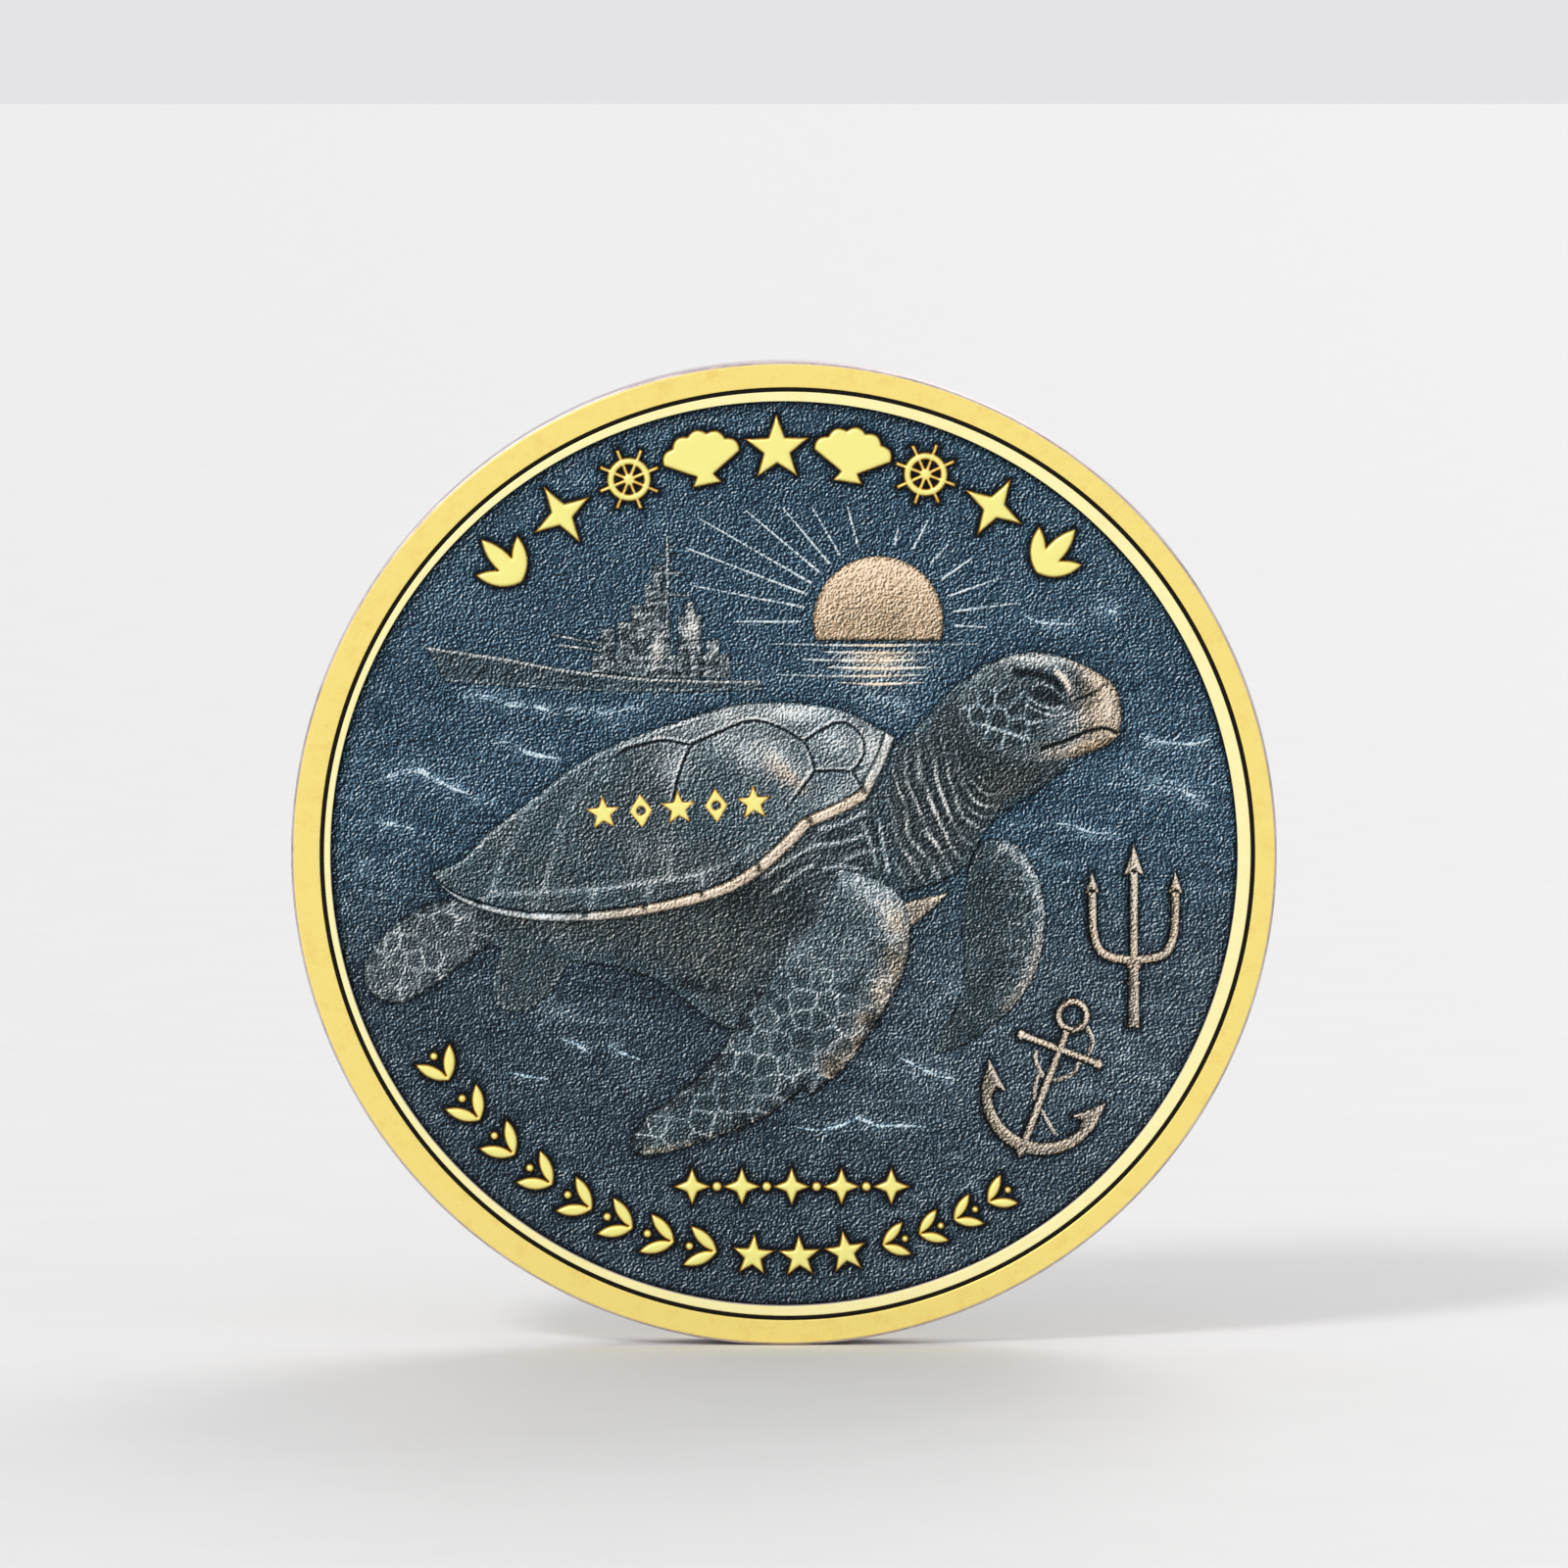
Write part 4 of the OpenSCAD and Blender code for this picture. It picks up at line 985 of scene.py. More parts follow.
def sculpt_front_flipper(p, d):
    y = p[:, 1]
    z = 0.05 + 0.22 * dome(d, 1.25)
    large, shade_large = cells(p, 0.95, 41)
    small, shade_small = cells(p, 0.5, 42)
    low = soft_step((-4.6 - y) / 2.4)
    border = np.where(noise(p, 1.0, 43) * 0.5 + low > 0.5, large, small)
    line = bell(border, 0.07) * (0.85 + 0.3 * noise(p, 0.9, 46))
    z += 0.03 * soft_step(border / 0.16) * (0.5 + 0.5 * low) + 0.02 * line * low
    z += 0.006 * rough(p, 0.3, 44)
    leading_edge = [(2.4, -0.9), (4.2, -1.6), (5, -2.7), (5.15, -4), (4.7, -5.6), (4, -7.2), (3, -8.7),
                    (1.8, -10.1)]
    lead = ridge(p, leading_edge, 0.62, 0.02)
    tip_edge = [(1.1, -10.9), (-0.6, -11.9), (-2.6, -12.8), (-5, -13.4), (-6.5, -13.4)]
    tip = ridge(p, tip_edge, 0.26, 0.02)
    z += 0.03 * lead
    # Painted highlight on the shoulder, and painted shade, a little brown, along the trailing edge
    shoulder = blob(p, 4.5, -2.1, 1.4, 0.8, -40)
    trailing = soft_step((0.6 - d) / 0.6) * (1 - np.clip(lead + tip, 0, 1))
    tone = 0.33 + 0.06 * (1 - low) + (0.16 * low + 0.27) * line + 0.1 * lead + 0.1 * tip
    tone = tone + 0.22 * shoulder + 0.04 * np.where(low > 0.5, shade_large, shade_small)
    tone = tone + 0.06 * noise(p, 1.2, 45) + 0.26 * lead * rough(p, 0.6, 47) - 0.17 * trailing
    worn_edge = (0.48 + 0.3 * noise(p, 0.6, 48)) * lead * soft_step((-1.5 - y) / 2)
    warm = 0.02 + worn_edge + 0.4 * tip + 0.1 * trailing
    return z, tone, warm


def sculpt_claw(p, d):
    y = p[:, 1]
    z = 0.04 + 0.13 * dome(d, 0.4) + 0.005 * rough(p, 0.3, 51)
    tone = 0.52 + 0.12 * soft_step((y + 2.4) / 0.5)
    return z, tone, 0.6


def sculpt_far_flipper(p, d):
    x, y = p.T
    leading_edge = [(9.6, 0.4), (10.7, -0.15), (11.4, -1.6), (11.6, -3), (11.4, -4.6), (10.8, -6),
                    (9.8, -7.2)]
    lead = ridge(p, leading_edge, 0.34, 0.03)
    border, _ = cells(p, 0.7, 61)
    line = bell(border, 0.08)
    z = 0.01 + 0.09 * dome(d, 1.1) + 0.02 * lead + 0.01 * line + 0.005 * rough(p, 0.3, 62)
    across = soft_step((x - 8.6) / 2.6)
    tone = 0.325 + 0.15 * line * across + 0.24 * lead + 0.05 * noise(p, 1, 63)
    tone = tone - 0.12 * lead * soft_step((-5.6 - y) / 1.6)
    warm = 0.04 + 0.3 * lead * soft_step((-2.8 - y) / 1.5)
    return z, tone, warm


def sculpt_rear_flipper(p, d):
    x, y = p.T
    border, shade = cells(p, 0.8, 71)
    line = bell(border, 0.08) * (0.8 + 0.5 * noise(p, 0.9, 73))
    z = 0.03 + 0.14 * dome(d, 1.1) + 0.02 * soft_step(border / 0.16) + 0.015 * line
    z += 0.006 * rough(p, 0.3, 72)
    tone = 0.375 + 0.36 * line + 0.03 * shade + 0.05 * soft_step((-3 - y) / 3)
    tone = tone - 0.12 * soft_step((x + 14.6) / 1.4) - 0.06 * soft_step((0.4 - d) / 0.4)
    return z, tone, 0.1


def sculpt_far_rear_flipper(p, d):
    y = p[:, 1]
    border, _ = cells(p, 0.7, 81)
    line = bell(border, 0.08)
    z = 0.01 + 0.07 * dome(d, 1.0) + 0.005 * rough(p, 0.35, 82)
    tone = 0.325 + 0.07 * line + 0.1 * bell(d - 0.16, 0.1) - 0.08 * soft_step((y + 5) / 1)
    return z, tone, 0.05


def turtle():
    top_data = relief(CARAPACE & MOVED_CARAPACE, SHELL_STEP, sculpt_carapace)
    piece("carapace_shell", top_data, "pewter", ["carapace", "carapace_scutes"])
    rim_data = relief(CARAPACE - MOVED_CARAPACE, SHELL_STEP, sculpt_carapace_rim)
    piece("carapace_bright_edge", rim_data, "bronze", ["carapace_rim"])
    rows = [
        (HEAD, SHELL_STEP, sculpt_head, "head", "turtle_head", "pewter"),
        (NECK, SHELL_STEP, sculpt_neck, "neck", "turtle_neck", "pewter"),
        (BODY, MEDIUM_STEP, sculpt_body, "belly", "turtle_body", "dark_pewter"),
        (FRONT_FLIPPER, SHELL_STEP, sculpt_front_flipper, "near_front_flipper", None, "pewter"),
        (CLAW, SHELL_STEP, sculpt_claw, "claw", "flipper_claw", "bronze"),
        (FAR_FLIPPER, MEDIUM_STEP, sculpt_far_flipper, "far_front_flipper", None, "pewter"),
        (REAR_FLIPPER, SHELL_STEP, sculpt_rear_flipper, "near_rear_flipper", None, "pewter"),
        (FAR_REAR_FLIPPER, MEDIUM_STEP, sculpt_far_rear_flipper, "far_rear_flipper", None, "dark_pewter"),
    ]
    for flat, step, sculpt, name, node, slot in rows:
        piece(name + "_sculpt", relief(flat, step, sculpt), "pewter", [node or name])


# ---------- Sun, sea and ship ----------

SUN_X, SUN_Y, SUN_R = 4.25, 10.5, 2.95
HORIZON_Y = 9.65
# Each ray: its angle, and its two ends measured from the sun's centre
RAYS = [
    (-3, 3.4, 4.9), (7.6, 3.4, 6.4), (19.8, 3.4, 5.9), (34, 3.4, 5.1), (48, 3.5, 4.7), (64, 3.6, 5.1),
    (78, 3.5, 4.3), (105, 3.5, 5.4), (120, 3.4, 5.9), (130, 3.4, 6.7), (140, 3.4, 7.8), (150, 3.4, 9.4),
    (159, 3.4, 9.3), (169, 3.4, 8.6), (180, 3.5, 6.4),
]
RAY_W = 0.14
# Each ripple: its two ends along the horizon, its level, and its width
RIPPLES = [
    (-0.7, 9, 9.5, 0.14), (1.6, 7, 9.15, 0.16), (0.8, 6.6, 8.8, 0.16), (1.8, 6.9, 8.45, 0.16),
    (-0.4, 6.4, 8.1, 0.12), (2.4, 6.2, 7.75, 0.14),
]
RIPPLE_SAG = 0.07
# Each wave crest: its greatest width and the points along it
WAVES = [
    (0.34, [(-14.7, 6.9), (-14, 7.2), (-13, 6.95), (-12, 6.75), (-11, 6.6), (-10.2, 6.3)]),
    (0.2, [(-10, 6.5), (-9, 6.6), (-8, 6.35), (-7, 6.55), (-6, 6.6)]),
    (0.26, [(-13.2, 5), (-12.4, 5.05), (-11.6, 4.6), (-10.8, 4.4), (-10, 4.3)]),
    (0.3, [(-18.6, 3.2), (-17.5, 3.6), (-16.5, 3.8), (-15.8, 3.4), (-15, 3), (-14.2, 2.7)]),
    (0.18, [(-18.4, 1.4), (-17.4, 1.3), (-16.6, 1.1)]),
    (0.26, [(16.3, 3.4), (17.2, 3.1), (17.9, 2.9), (18.6, 2.5), (19.2, 2.1)]),
    (0.2, [(16, 5.3), (17.3, 5), (18.5, 5), (19.3, 5.2)]),
    (0.18, [(12.2, 1.4), (13, 1.3), (13.8, 1), (15.2, 0.9)]),
    (0.18, [(10.8, 10.8), (11.4, 10.5), (12.3, 10.4), (13.6, 10.4)]),
    (0.26, [(13.7, 10.9), (14.4, 11.1), (15.2, 10.8)]),
    (0.24, [(-10, -8.4), (-9.4, -8.6), (-8.8, -9)]),
    (0.2, [(-8, -8.6), (-7.3, -9), (-6.5, -9.3)]),
    (0.18, [(-12.4, -9.9), (-11.4, -10.1), (-10.6, -10.2)]),
    (0.22, [(0.6, -12.4), (1.6, -12.5), (2.6, -12.3), (3.4, -12), (4.2, -12.3), (5.5, -12.3), (6.8, -12.4)]),
    (0.2, [(5.2, -9.2), (6, -9.6), (6.8, -10), (7.8, -10.2)]),
]
HULL = outline(
    [(-16.2, 9.4), (-13, 8.95), (-10, 8.4), (-7, 8.05), (-4, 7.9), (-1, 7.85)],
    [(-1, 7.85), (-1, 7.4)],
    [(-1, 7.4), (-4, 7.3), (-9, 7.35), (-13, 7.6), (-15.3, 7.8)],
    [(-15.3, 7.8), (-16.2, 9.4)],
)
# Each block of the ship's upper works: left side, right side and top, from the deck up
DECK_BLOCKS = [
    (-8.7, -2.4, 9), (-8.3, -7.6, 10.2), (-7.5, -5.1, 10.5), (-6.9, -5.2, 11.3), (-6.3, -5.3, 12.2),
    (-5.95, -5.45, 13.1), (-4.8, -3.7, 10.8), (-4.5, -4, 11.4), (-3.5, -2.9, 9.7),
]
DECK_Y, DECK_PITCH = 7.95, 0.48
MAST_X, MAST_W, MAST_TOP = -5.25, 0.14, 14.4
YARDS = [(12.7, 1.5), (13.5, 0.9), (11.7, 2.1)]
BARRELS = [[(-8, 9.45), (-10.4, 9.9)], [(-8, 9.15), (-10.1, 9.45)]]
BARREL_W = 0.18


def sculpt_sun(p, d):
    x, y = p.T
    out = np.hypot(x - SUN_X, y - SUN_Y)
    z = 0.08 + 0.2 * np.sqrt(np.clip(1 - (out / (SUN_R + 0.35)) ** 2, 0, 1)) * dome(d, 0.5)
    z += 0.008 * rough(p, 0.35, 91)
    tone = 0.7 + 0.16 * soft_step((y - SUN_Y - 0.4) / 2) - 0.1 * soft_step((0.3 - d) / 0.3)
    tone = tone - 0.09 * soft_step((11.2 - y) / 1.4) + 0.04 * noise(p, 1.3, 92)
    return z, tone, 0.95


def thin_line(height, bright, warm, seed, worn=0.16, size=0.7):
    """Sculpting of fine raised lines, worn unevenly in patches of a size."""
    def sculpt(p, d):
        z = 0.02 + height * dome(d, 0.09)
        tone = bright + worn * noise(p, size, seed)
        return z, tone, warm
    return sculpt


def ray_flat(ray):
    a = math.radians(ray[0])
    ends = [(SUN_X + r * math.cos(a), SUN_Y + r * math.sin(a)) for r in ray[1:]]
    return stroke(ends, RAY_W, RAY_W / 2)


def ripple_line(ripple):
    x0, x1, y, _ = ripple
    return [(x0, y), ((x0 + x1) / 2, y - RIPPLE_SAG), (x1, y)]


def sculpt_ripple(p, d):
    away = p[:, 0] - SUN_X
    z = 0.02 + 0.03 * dome(d, 0.08)
    tone = 0.7 + 0.34 * bell(away, 1.7) + 0.25 * noise(p, (0.6, 0.2), 96)
    return z, tone, 0.05 + 0.75 * bell(away, 1.3)


def sun_and_sea():
    water = box(SUN_X - 2 * SUN_R, HORIZON_Y - 2 * SUN_R, SUN_X + 2 * SUN_R, HORIZON_Y)
    sun = disc(SUN_X, SUN_Y, SUN_R) - water
    piece("sun_sculpt", relief(sun, MEDIUM_STEP, sculpt_sun), "sun", ["sun"])
    ray_sculpt = thin_line(0.03, 0.86, 0.12, 95)
    rays = joined([relief(ray_flat(ray), FINE_STEP, ray_sculpt) for ray in RAYS])
    piece("sun_rays_relief", rays, "sea", ["sun_rays"])
    ripple_flats = [crest(ripple_line(ripple), ripple[3]) - COVER for ripple in RIPPLES]
    ripples = joined([relief(flat, FINE_STEP, sculpt_ripple) for flat in ripple_flats])
    piece("sea_ripples_relief", ripples, "pewter", ["sea_ripples"])
    wave_sculpt = thin_line(0.04, 0.7, 0, 97, 0.34, (0.45, 0.25))
    waves = joined([relief(crest(points, w), FINE_STEP, wave_sculpt) for w, points in WAVES])
    piece("wave_crests_relief", waves, "sea", ["wave_crests"])


def sculpt_hull(p, d):
    deck = ridge(p, [(-16.2, 9.32), (-13, 8.87), (-10, 8.32), (-7, 7.97), (-4, 7.82), (-1, 7.77)], 0.08, 0)
    keel = ridge(p, [(-15.2, 7.9), (-13, 7.7), (-9, 7.45), (-4, 7.4), (-1, 7.5)], 0.08, 0)
    z = 0.015 + 0.03 * dome(d, 0.3) + 0.02 * deck + 0.006 * rough(p, 0.4, 101)
    tone = 0.345 + 0.38 * deck + 0.16 * keel + 0.05 * noise(p, (1.2, 0.3), 102)
    return z, tone, 0.02 + 0.2 * deck


def sculpt_deckworks(p, d):
    x, y = p.T
    border, shade = cells(p, 0.34, 103)
    z = 0.04 + 0.07 * dome(d, 0.12) + 0.02 * shade * soft_step(border / 0.06) + 0.012 * rough(p, 0.2, 104)
    bright = spots(p, [(-5.7, 9.1, 0.32, 0.8, 0, 0.44), (-4.15, 10.2, 0.36, 0.9, 0, 0.4),
                       (-6.4, 10.3, 0.5, 0.4, 0, 0.2), (-3.2, 9, 0.3, 0.5, 0, 0.14)])
    decks = np.cos(2 * math.pi * (y - DECK_Y) / DECK_PITCH) * soft_step(noise(p, (0.7, 0.3), 106) + 0.6)
    mast = bell(x - MAST_X, 0.1) * soft_step((y - 11) / 1.5)
    tone = 0.42 + bright * (0.9 + 0.6 * noise(p, 0.5, 105)) + 0.09 * shade + 0.14 * decks + 0.16 * mast
    return z, tone, 0.1 + 0.4 * bright


def warship():
    hull_data = relief(HULL - COVER, MEDIUM_STEP, sculpt_hull)
    piece("hull_relief", hull_data, "pewter", ["warship_hull"])
    blocks = [box(left, DECK_Y, right, top) for left, right, top in DECK_BLOCKS]
    yards = [stroke([(MAST_X - w / 2, y), (MAST_X + w / 2, y)], MAST_W, MAST_W) for y, w in YARDS]
    barrels = [stroke(line, BARREL_W, BARREL_W) for line in BARRELS]
    mast = stroke([(MAST_X, DECK_Y), (MAST_X, MAST_TOP)], 2 * MAST_W, MAST_W)
    works = union(blocks + yards + barrels + [mast])
    works_data = relief(works - HULL, FINE_STEP, sculpt_deckworks)
    piece("deckworks_relief", works_data, "pewter", ["warship_deckworks"])


# ---------- Trident and anchor ----------

TRIDENT_X, PRONG_TOP, BOW_Y = 15.75, -1.7, -4.8
PRONG_GAP, PRONG_W, SHAFT_END = 1.88, 0.42, -7.9
COLLAR_L, COLLAR_W, COLLAR_YS = 0.64, 0.2, (-5.1, -5.85)
CROWN_X, CROWN_Y, ANCHOR_LEAN = 10.65, -13.5, -20.8
ARM_R, ARM_W = 2.77, 0.42
SHANK_L, SHANK_W = 5.9, 0.34
STOCK_Y, STOCK_L, STOCK_BALL_R = 4.97, 3.7, 0.24
SHACKLE_Y, SHACKLE_R, SHACKLE_W = 6.6, 0.8, 0.32
ROPE_W = 0.24
ROPE_TURNS = [
    [(0.75, 6.4), (1.25, 5.9), (1.3, 5.3), (1.05, 4.7), (0.9, 4.1), (0, 3.5), (-0.8, 4.1), (-0.95, 4.6)],
    [(-0.55, 3.9), (-0.3, 2.6), (0.45, 1.9), (1.2, 1.3)],
]


def sculpt_emblem(p, d):
    z = 0.05 + 0.14 * dome(d, 0.24) + 0.008 * rough(p, 0.25, 111)
    tone = 0.42 + 0.15 * soft_step(d / 0.14) + 0.12 * noise(p, 0.8, 112)
    return z, tone, 0.66 + 0.15 * noise(p, 1.5, 113)


def sculpt_rope(p, d):
    z = 0.02 + 0.05 * dome(d, 0.1)
    return z, 0.56 + 0.12 * noise(p, 0.3, 114), 0.5


def spear_point(x, y, w, h):
    return polygon([(x - w / 2, y - 0.12 * h), (x, y + 0.06 * h), (x + w / 2, y - 0.12 * h), (x, y + h)])


def trident_flat():
    x, gap = TRIDENT_X, PRONG_GAP
    bow = [(x - gap, PRONG_TOP), (x - 0.96 * gap, BOW_Y + 1.2), (x - 0.7 * gap, BOW_Y + 0.25), (x, BOW_Y),
           (x + 0.7 * gap, BOW_Y + 0.25), (x + 0.96 * gap, BOW_Y + 1.2), (x + gap, PRONG_TOP)]
    collar_x = x - COLLAR_L / 2, x + COLLAR_L / 2
    collars = [box(collar_x[0], y - COLLAR_W / 2, collar_x[1], y + COLLAR_W / 2) for y in COLLAR_YS]
    points = [spear_point(x, -0.85, 1, 1.3), spear_point(x - gap, PRONG_TOP, 0.72, 0.95),
              spear_point(x + gap, PRONG_TOP, 0.72, 0.95)]
    shaft = [stroke([(x, -0.8), (x, BOW_Y)], PRONG_W, PRONG_W),
             stroke([(x, BOW_Y), (x, SHAFT_END)], 1.2 * PRONG_W, 1.35 * PRONG_W)]
    return union([stroke(bow, PRONG_W, PRONG_W)] + shaft + collars + points)


def anchor_flats():
    """The anchor, its shackle and its rope, standing at the origin."""
    upper_half = box(-2 * ARM_R, ARM_R, 2 * ARM_R, 3 * ARM_R)
    arms = disc(0, ARM_R, ARM_R) - disc(0, ARM_R + 0.2, ARM_R - ARM_W) - upper_half
    fluke = [(2.85, 3.5), (1.55, 2.35), (2.05, 2.3), (2.2, 1.3), (2.75, 2.1)]
    flukes = [polygon(fluke), polygon([(-x, y) for x, y in reversed(fluke)])]
    crown = polygon([(-0.5, 0.35), (0, -0.3), (0.5, 0.35)])
    shank = stroke([(0, 0.1), (0, SHANK_L)], 1.2 * SHANK_W, SHANK_W)
    stock = stroke([(-STOCK_L / 2, STOCK_Y), (STOCK_L / 2, STOCK_Y)], SHANK_W, SHANK_W)
    balls = [disc(side * STOCK_L / 2, STOCK_Y, STOCK_BALL_R) for side in (-1, 1)]
    body = union([arms, crown, shank, stock] + flukes + balls)
    shackle = disc(0, SHACKLE_Y, SHACKLE_R) - disc(0, SHACKLE_Y, SHACKLE_R - SHACKLE_W) - shank
    rope = union([stroke(turn, ROPE_W, ROPE_W) for turn in ROPE_TURNS])
    rope = rope - arms - shank - stock - disc(0, SHACKLE_Y, SHACKLE_R)
    return body, shackle, rope


TRIDENT = trident_flat()
ANCHOR, SHACKLE, ROPE = [flat.moved(CROWN_X, CROWN_Y, ANCHOR_LEAN) for flat in anchor_flats()]


def trident_and_anchor():
    rows = [("trident_relief", TRIDENT, sculpt_emblem, "trident"),
            ("anchor_relief", ANCHOR, sculpt_emblem, "anchor"),
            ("anchor_shackle", SHACKLE, sculpt_emblem, "anchor_ring"),
            ("anchor_rope_relief", ROPE, sculpt_rope, "anchor_rope")]
    for name, flat, sculpt, node in rows:
        # Painted light on the right-facing slopes of the trident and anchor, painted shade on the left-facing
        # ones
        piece(name, relief(flat, FINE_STEP, sculpt, painted_light=0.8), "pewter", [node])


# ---------- Gold ornaments ----------


def star(n, r, inner):
    a = math.pi / 2 + math.pi * np.arange(2 * n) / n
    q = np.where(np.arange(2 * n) % 2 == 0, r, r * inner)
    return polygon(np.column_stack([q * np.cos(a), q * np.sin(a)]))


def leaf(length, w):
    """Pointed leaf from the origin upwards: the overlap of two discs."""
    r = (length ** 2 + w ** 2) / (4 * w)
    half = math.asin(length / 2 / r)
    a = np.linspace(-half, half, 24)
    right = np.column_stack([r * np.cos(a) - (r - w / 2), r * np.sin(a) + length / 2])
    left = np.column_stack([-right[:, 0], right[:, 1]])[::-1]
    return polygon(np.vstack([right, left[1:-1]]))


def sprig(s):
    leaves = [leaf(1.9 * s, 0.62 * s)] + [leaf(1.5 * s, 0.52 * s).moved(turn=38 * side) for side in (-1, 1)]
    return union(leaves).moved(0, -0.9 * s)


def scallop(s):
    """A fan with a lobed edge over a small foot."""
    lobes, spread, fan_y = 5, 66, -0.62 * s
    i = np.arange(0, 4 * lobes + 0.1, 0.5)
    a = np.radians(spread * (i / (2 * lobes) - 1))
    r = s * (1.42 + 0.13 * np.abs(np.sin(np.radians(45 * i))))
    fan = np.column_stack([r * np.sin(a), r * np.cos(a) + fan_y])
    foot = [(0.3 * s, fan_y), (0.5 * s, fan_y - 0.32 * s), (-0.5 * s, fan_y - 0.32 * s), (-0.3 * s, fan_y)]
    return polygon(np.vstack([fan, foot]))


def lozenge(s):
    return polygon([(0, s), (0.68 * s, 0), (0, -s), (-0.68 * s, 0)]) - disc(0, 0, 0.22 * s)


def ships_wheel(s):
    spokes = [box(-s, -0.06 * s, s, 0.06 * s).moved(turn=45 * i) for i in range(4)]
    return union([disc(0, 0, 0.7 * s) - disc(0, 0, 0.46 * s), disc(0, 0, 0.2 * s)] + spokes)


def leaf_pair(s):
    leaves = [leaf(1.75 * s, 0.6 * s).moved(turn=33 * side - 90) for side in (-1, 1)]
    return union(leaves + [disc(1.35 * s, 0, 0.2 * s)]).moved(-0.7 * s, 0)


def on_arc(flat, r, angle):
    a = math.radians(angle)
    return flat.moved(r * math.cos(a), r * math.sin(a), angle - 90)


# Radius of the arcs on which the ornaments stand, and how deep the notches of a star are
TOP_ARC_R, BOTTOM_ARC_R = 18.3, 18.25
NOTCH = 0.42
TOP_ORNAMENTS = [star(5, 1.55, NOTCH), scallop(1.35), ships_wheel(1.42), star(4, 1.5, 0.34), sprig(1.4)]
TOP_ARC = [on_arc(TOP_ORNAMENTS[abs(i)], TOP_ARC_R, 91 - 10.7 * i) for i in range(-4, 5)]
LEFT_ANGLES = (212, 219.2, 226.2, 233, 239.6, 246, 252.2, 258.4)
STAR_ANGLES = (265.6, 272.2, 278.8)
RIGHT_ANGLES = (285.8, 291.2, 296.6, 302)
BOTTOM_LEFT = [on_arc(leaf_pair(0.95), BOTTOM_ARC_R, a) for a in LEFT_ANGLES]
BOTTOM_STARS = [on_arc(star(5, 1, NOTCH).moved(turn=180), BOTTOM_ARC_R, a) for a in STAR_ANGLES]
BOTTOM_RIGHT = [on_arc(leaf_pair(0.8).moved(turn=180), BOTTOM_ARC_R, a) for a in RIGHT_ANGLES]
ROW_X, ROW_Y, ROW_PITCH = 0.35, -15.05, 2.25
LOWER_ROW = ([star(4, 0.85, NOTCH).moved(ROW_X + ROW_PITCH * i, ROW_Y) for i in range(-2, 3)]
             + [disc(ROW_X + ROW_PITCH * (i + 0.5), ROW_Y, 0.22) for i in range(-2, 2)])
SHELL_X, SHELL_Y, SHELL_TURN, SHELL_PITCH = -4.75, 2.1, 4, 1.7
SHELL_ROW = [(lozenge(0.8) if i % 2 else star(5, 0.85, NOTCH)).moved(SHELL_PITCH * i)
             .moved(SHELL_X, SHELL_Y, SHELL_TURN) for i in range(-2, 3)]


def bevelled(height, lift=0.0):
    """Sculpting of a struck gold ornament: sloped sides, a softly crowned top."""
    def sculpt(p, d):
        z = lift + height * (0.45 + 0.4 * np.clip(d / 0.12, 0, 1) + 0.15 * dome(d, 0.5))
        z = z + 0.004 * rough(p, 0.4, 121)
        tone = 0.12 + 0.5 * soft_step((d - 0.015) / 0.09) + 0.05 * noise(p, 0.7, 122)
        return z, tone, 0.5
    return sculpt


def ornaments():
    rows = [("top_arc_gold", TOP_ARC, "top_arc_ornaments"),
            ("bottom_left_gold", BOTTOM_LEFT, "bottom_left_ornaments"),
            ("bottom_stars_gold", BOTTOM_STARS, "bottom_stars"),
            ("bottom_right_gold", BOTTOM_RIGHT, "bottom_right_ornaments"),
            ("lower_row_gold", LOWER_ROW, "lower_row_ornaments")]
    for name, flats, node in rows:
        sculpt = bevelled(top_z(node) - FIELD_Z)
        data = joined([relief(flat, ORNAMENT_STEP, sculpt, wear=1) for flat in flats])
        piece(name, data, "ornament", [node])
    lift = face_box("shell_ornaments")[0][2] - FIELD_Z - 0.04
    sculpt, base_z = bevelled(0.11, lift), FIELD_Z + lift - 0.1
    shell = joined([relief(flat, FINE_STEP, sculpt, base_z, wear=1) for flat in SHELL_ROW])
    piece("shell_row_gold", shell, "ornament", ["shell_ornaments"])


# ---------- Fields ----------

TURTLE = [CARAPACE, HEAD, NECK, BODY, FRONT_FLIPPER, REAR_FLIPPER, CLAW]
GOLD_WORK = TOP_ARC + BOTTOM_LEFT + BOTTOM_STARS + BOTTOM_RIGHT + LOWER_ROW


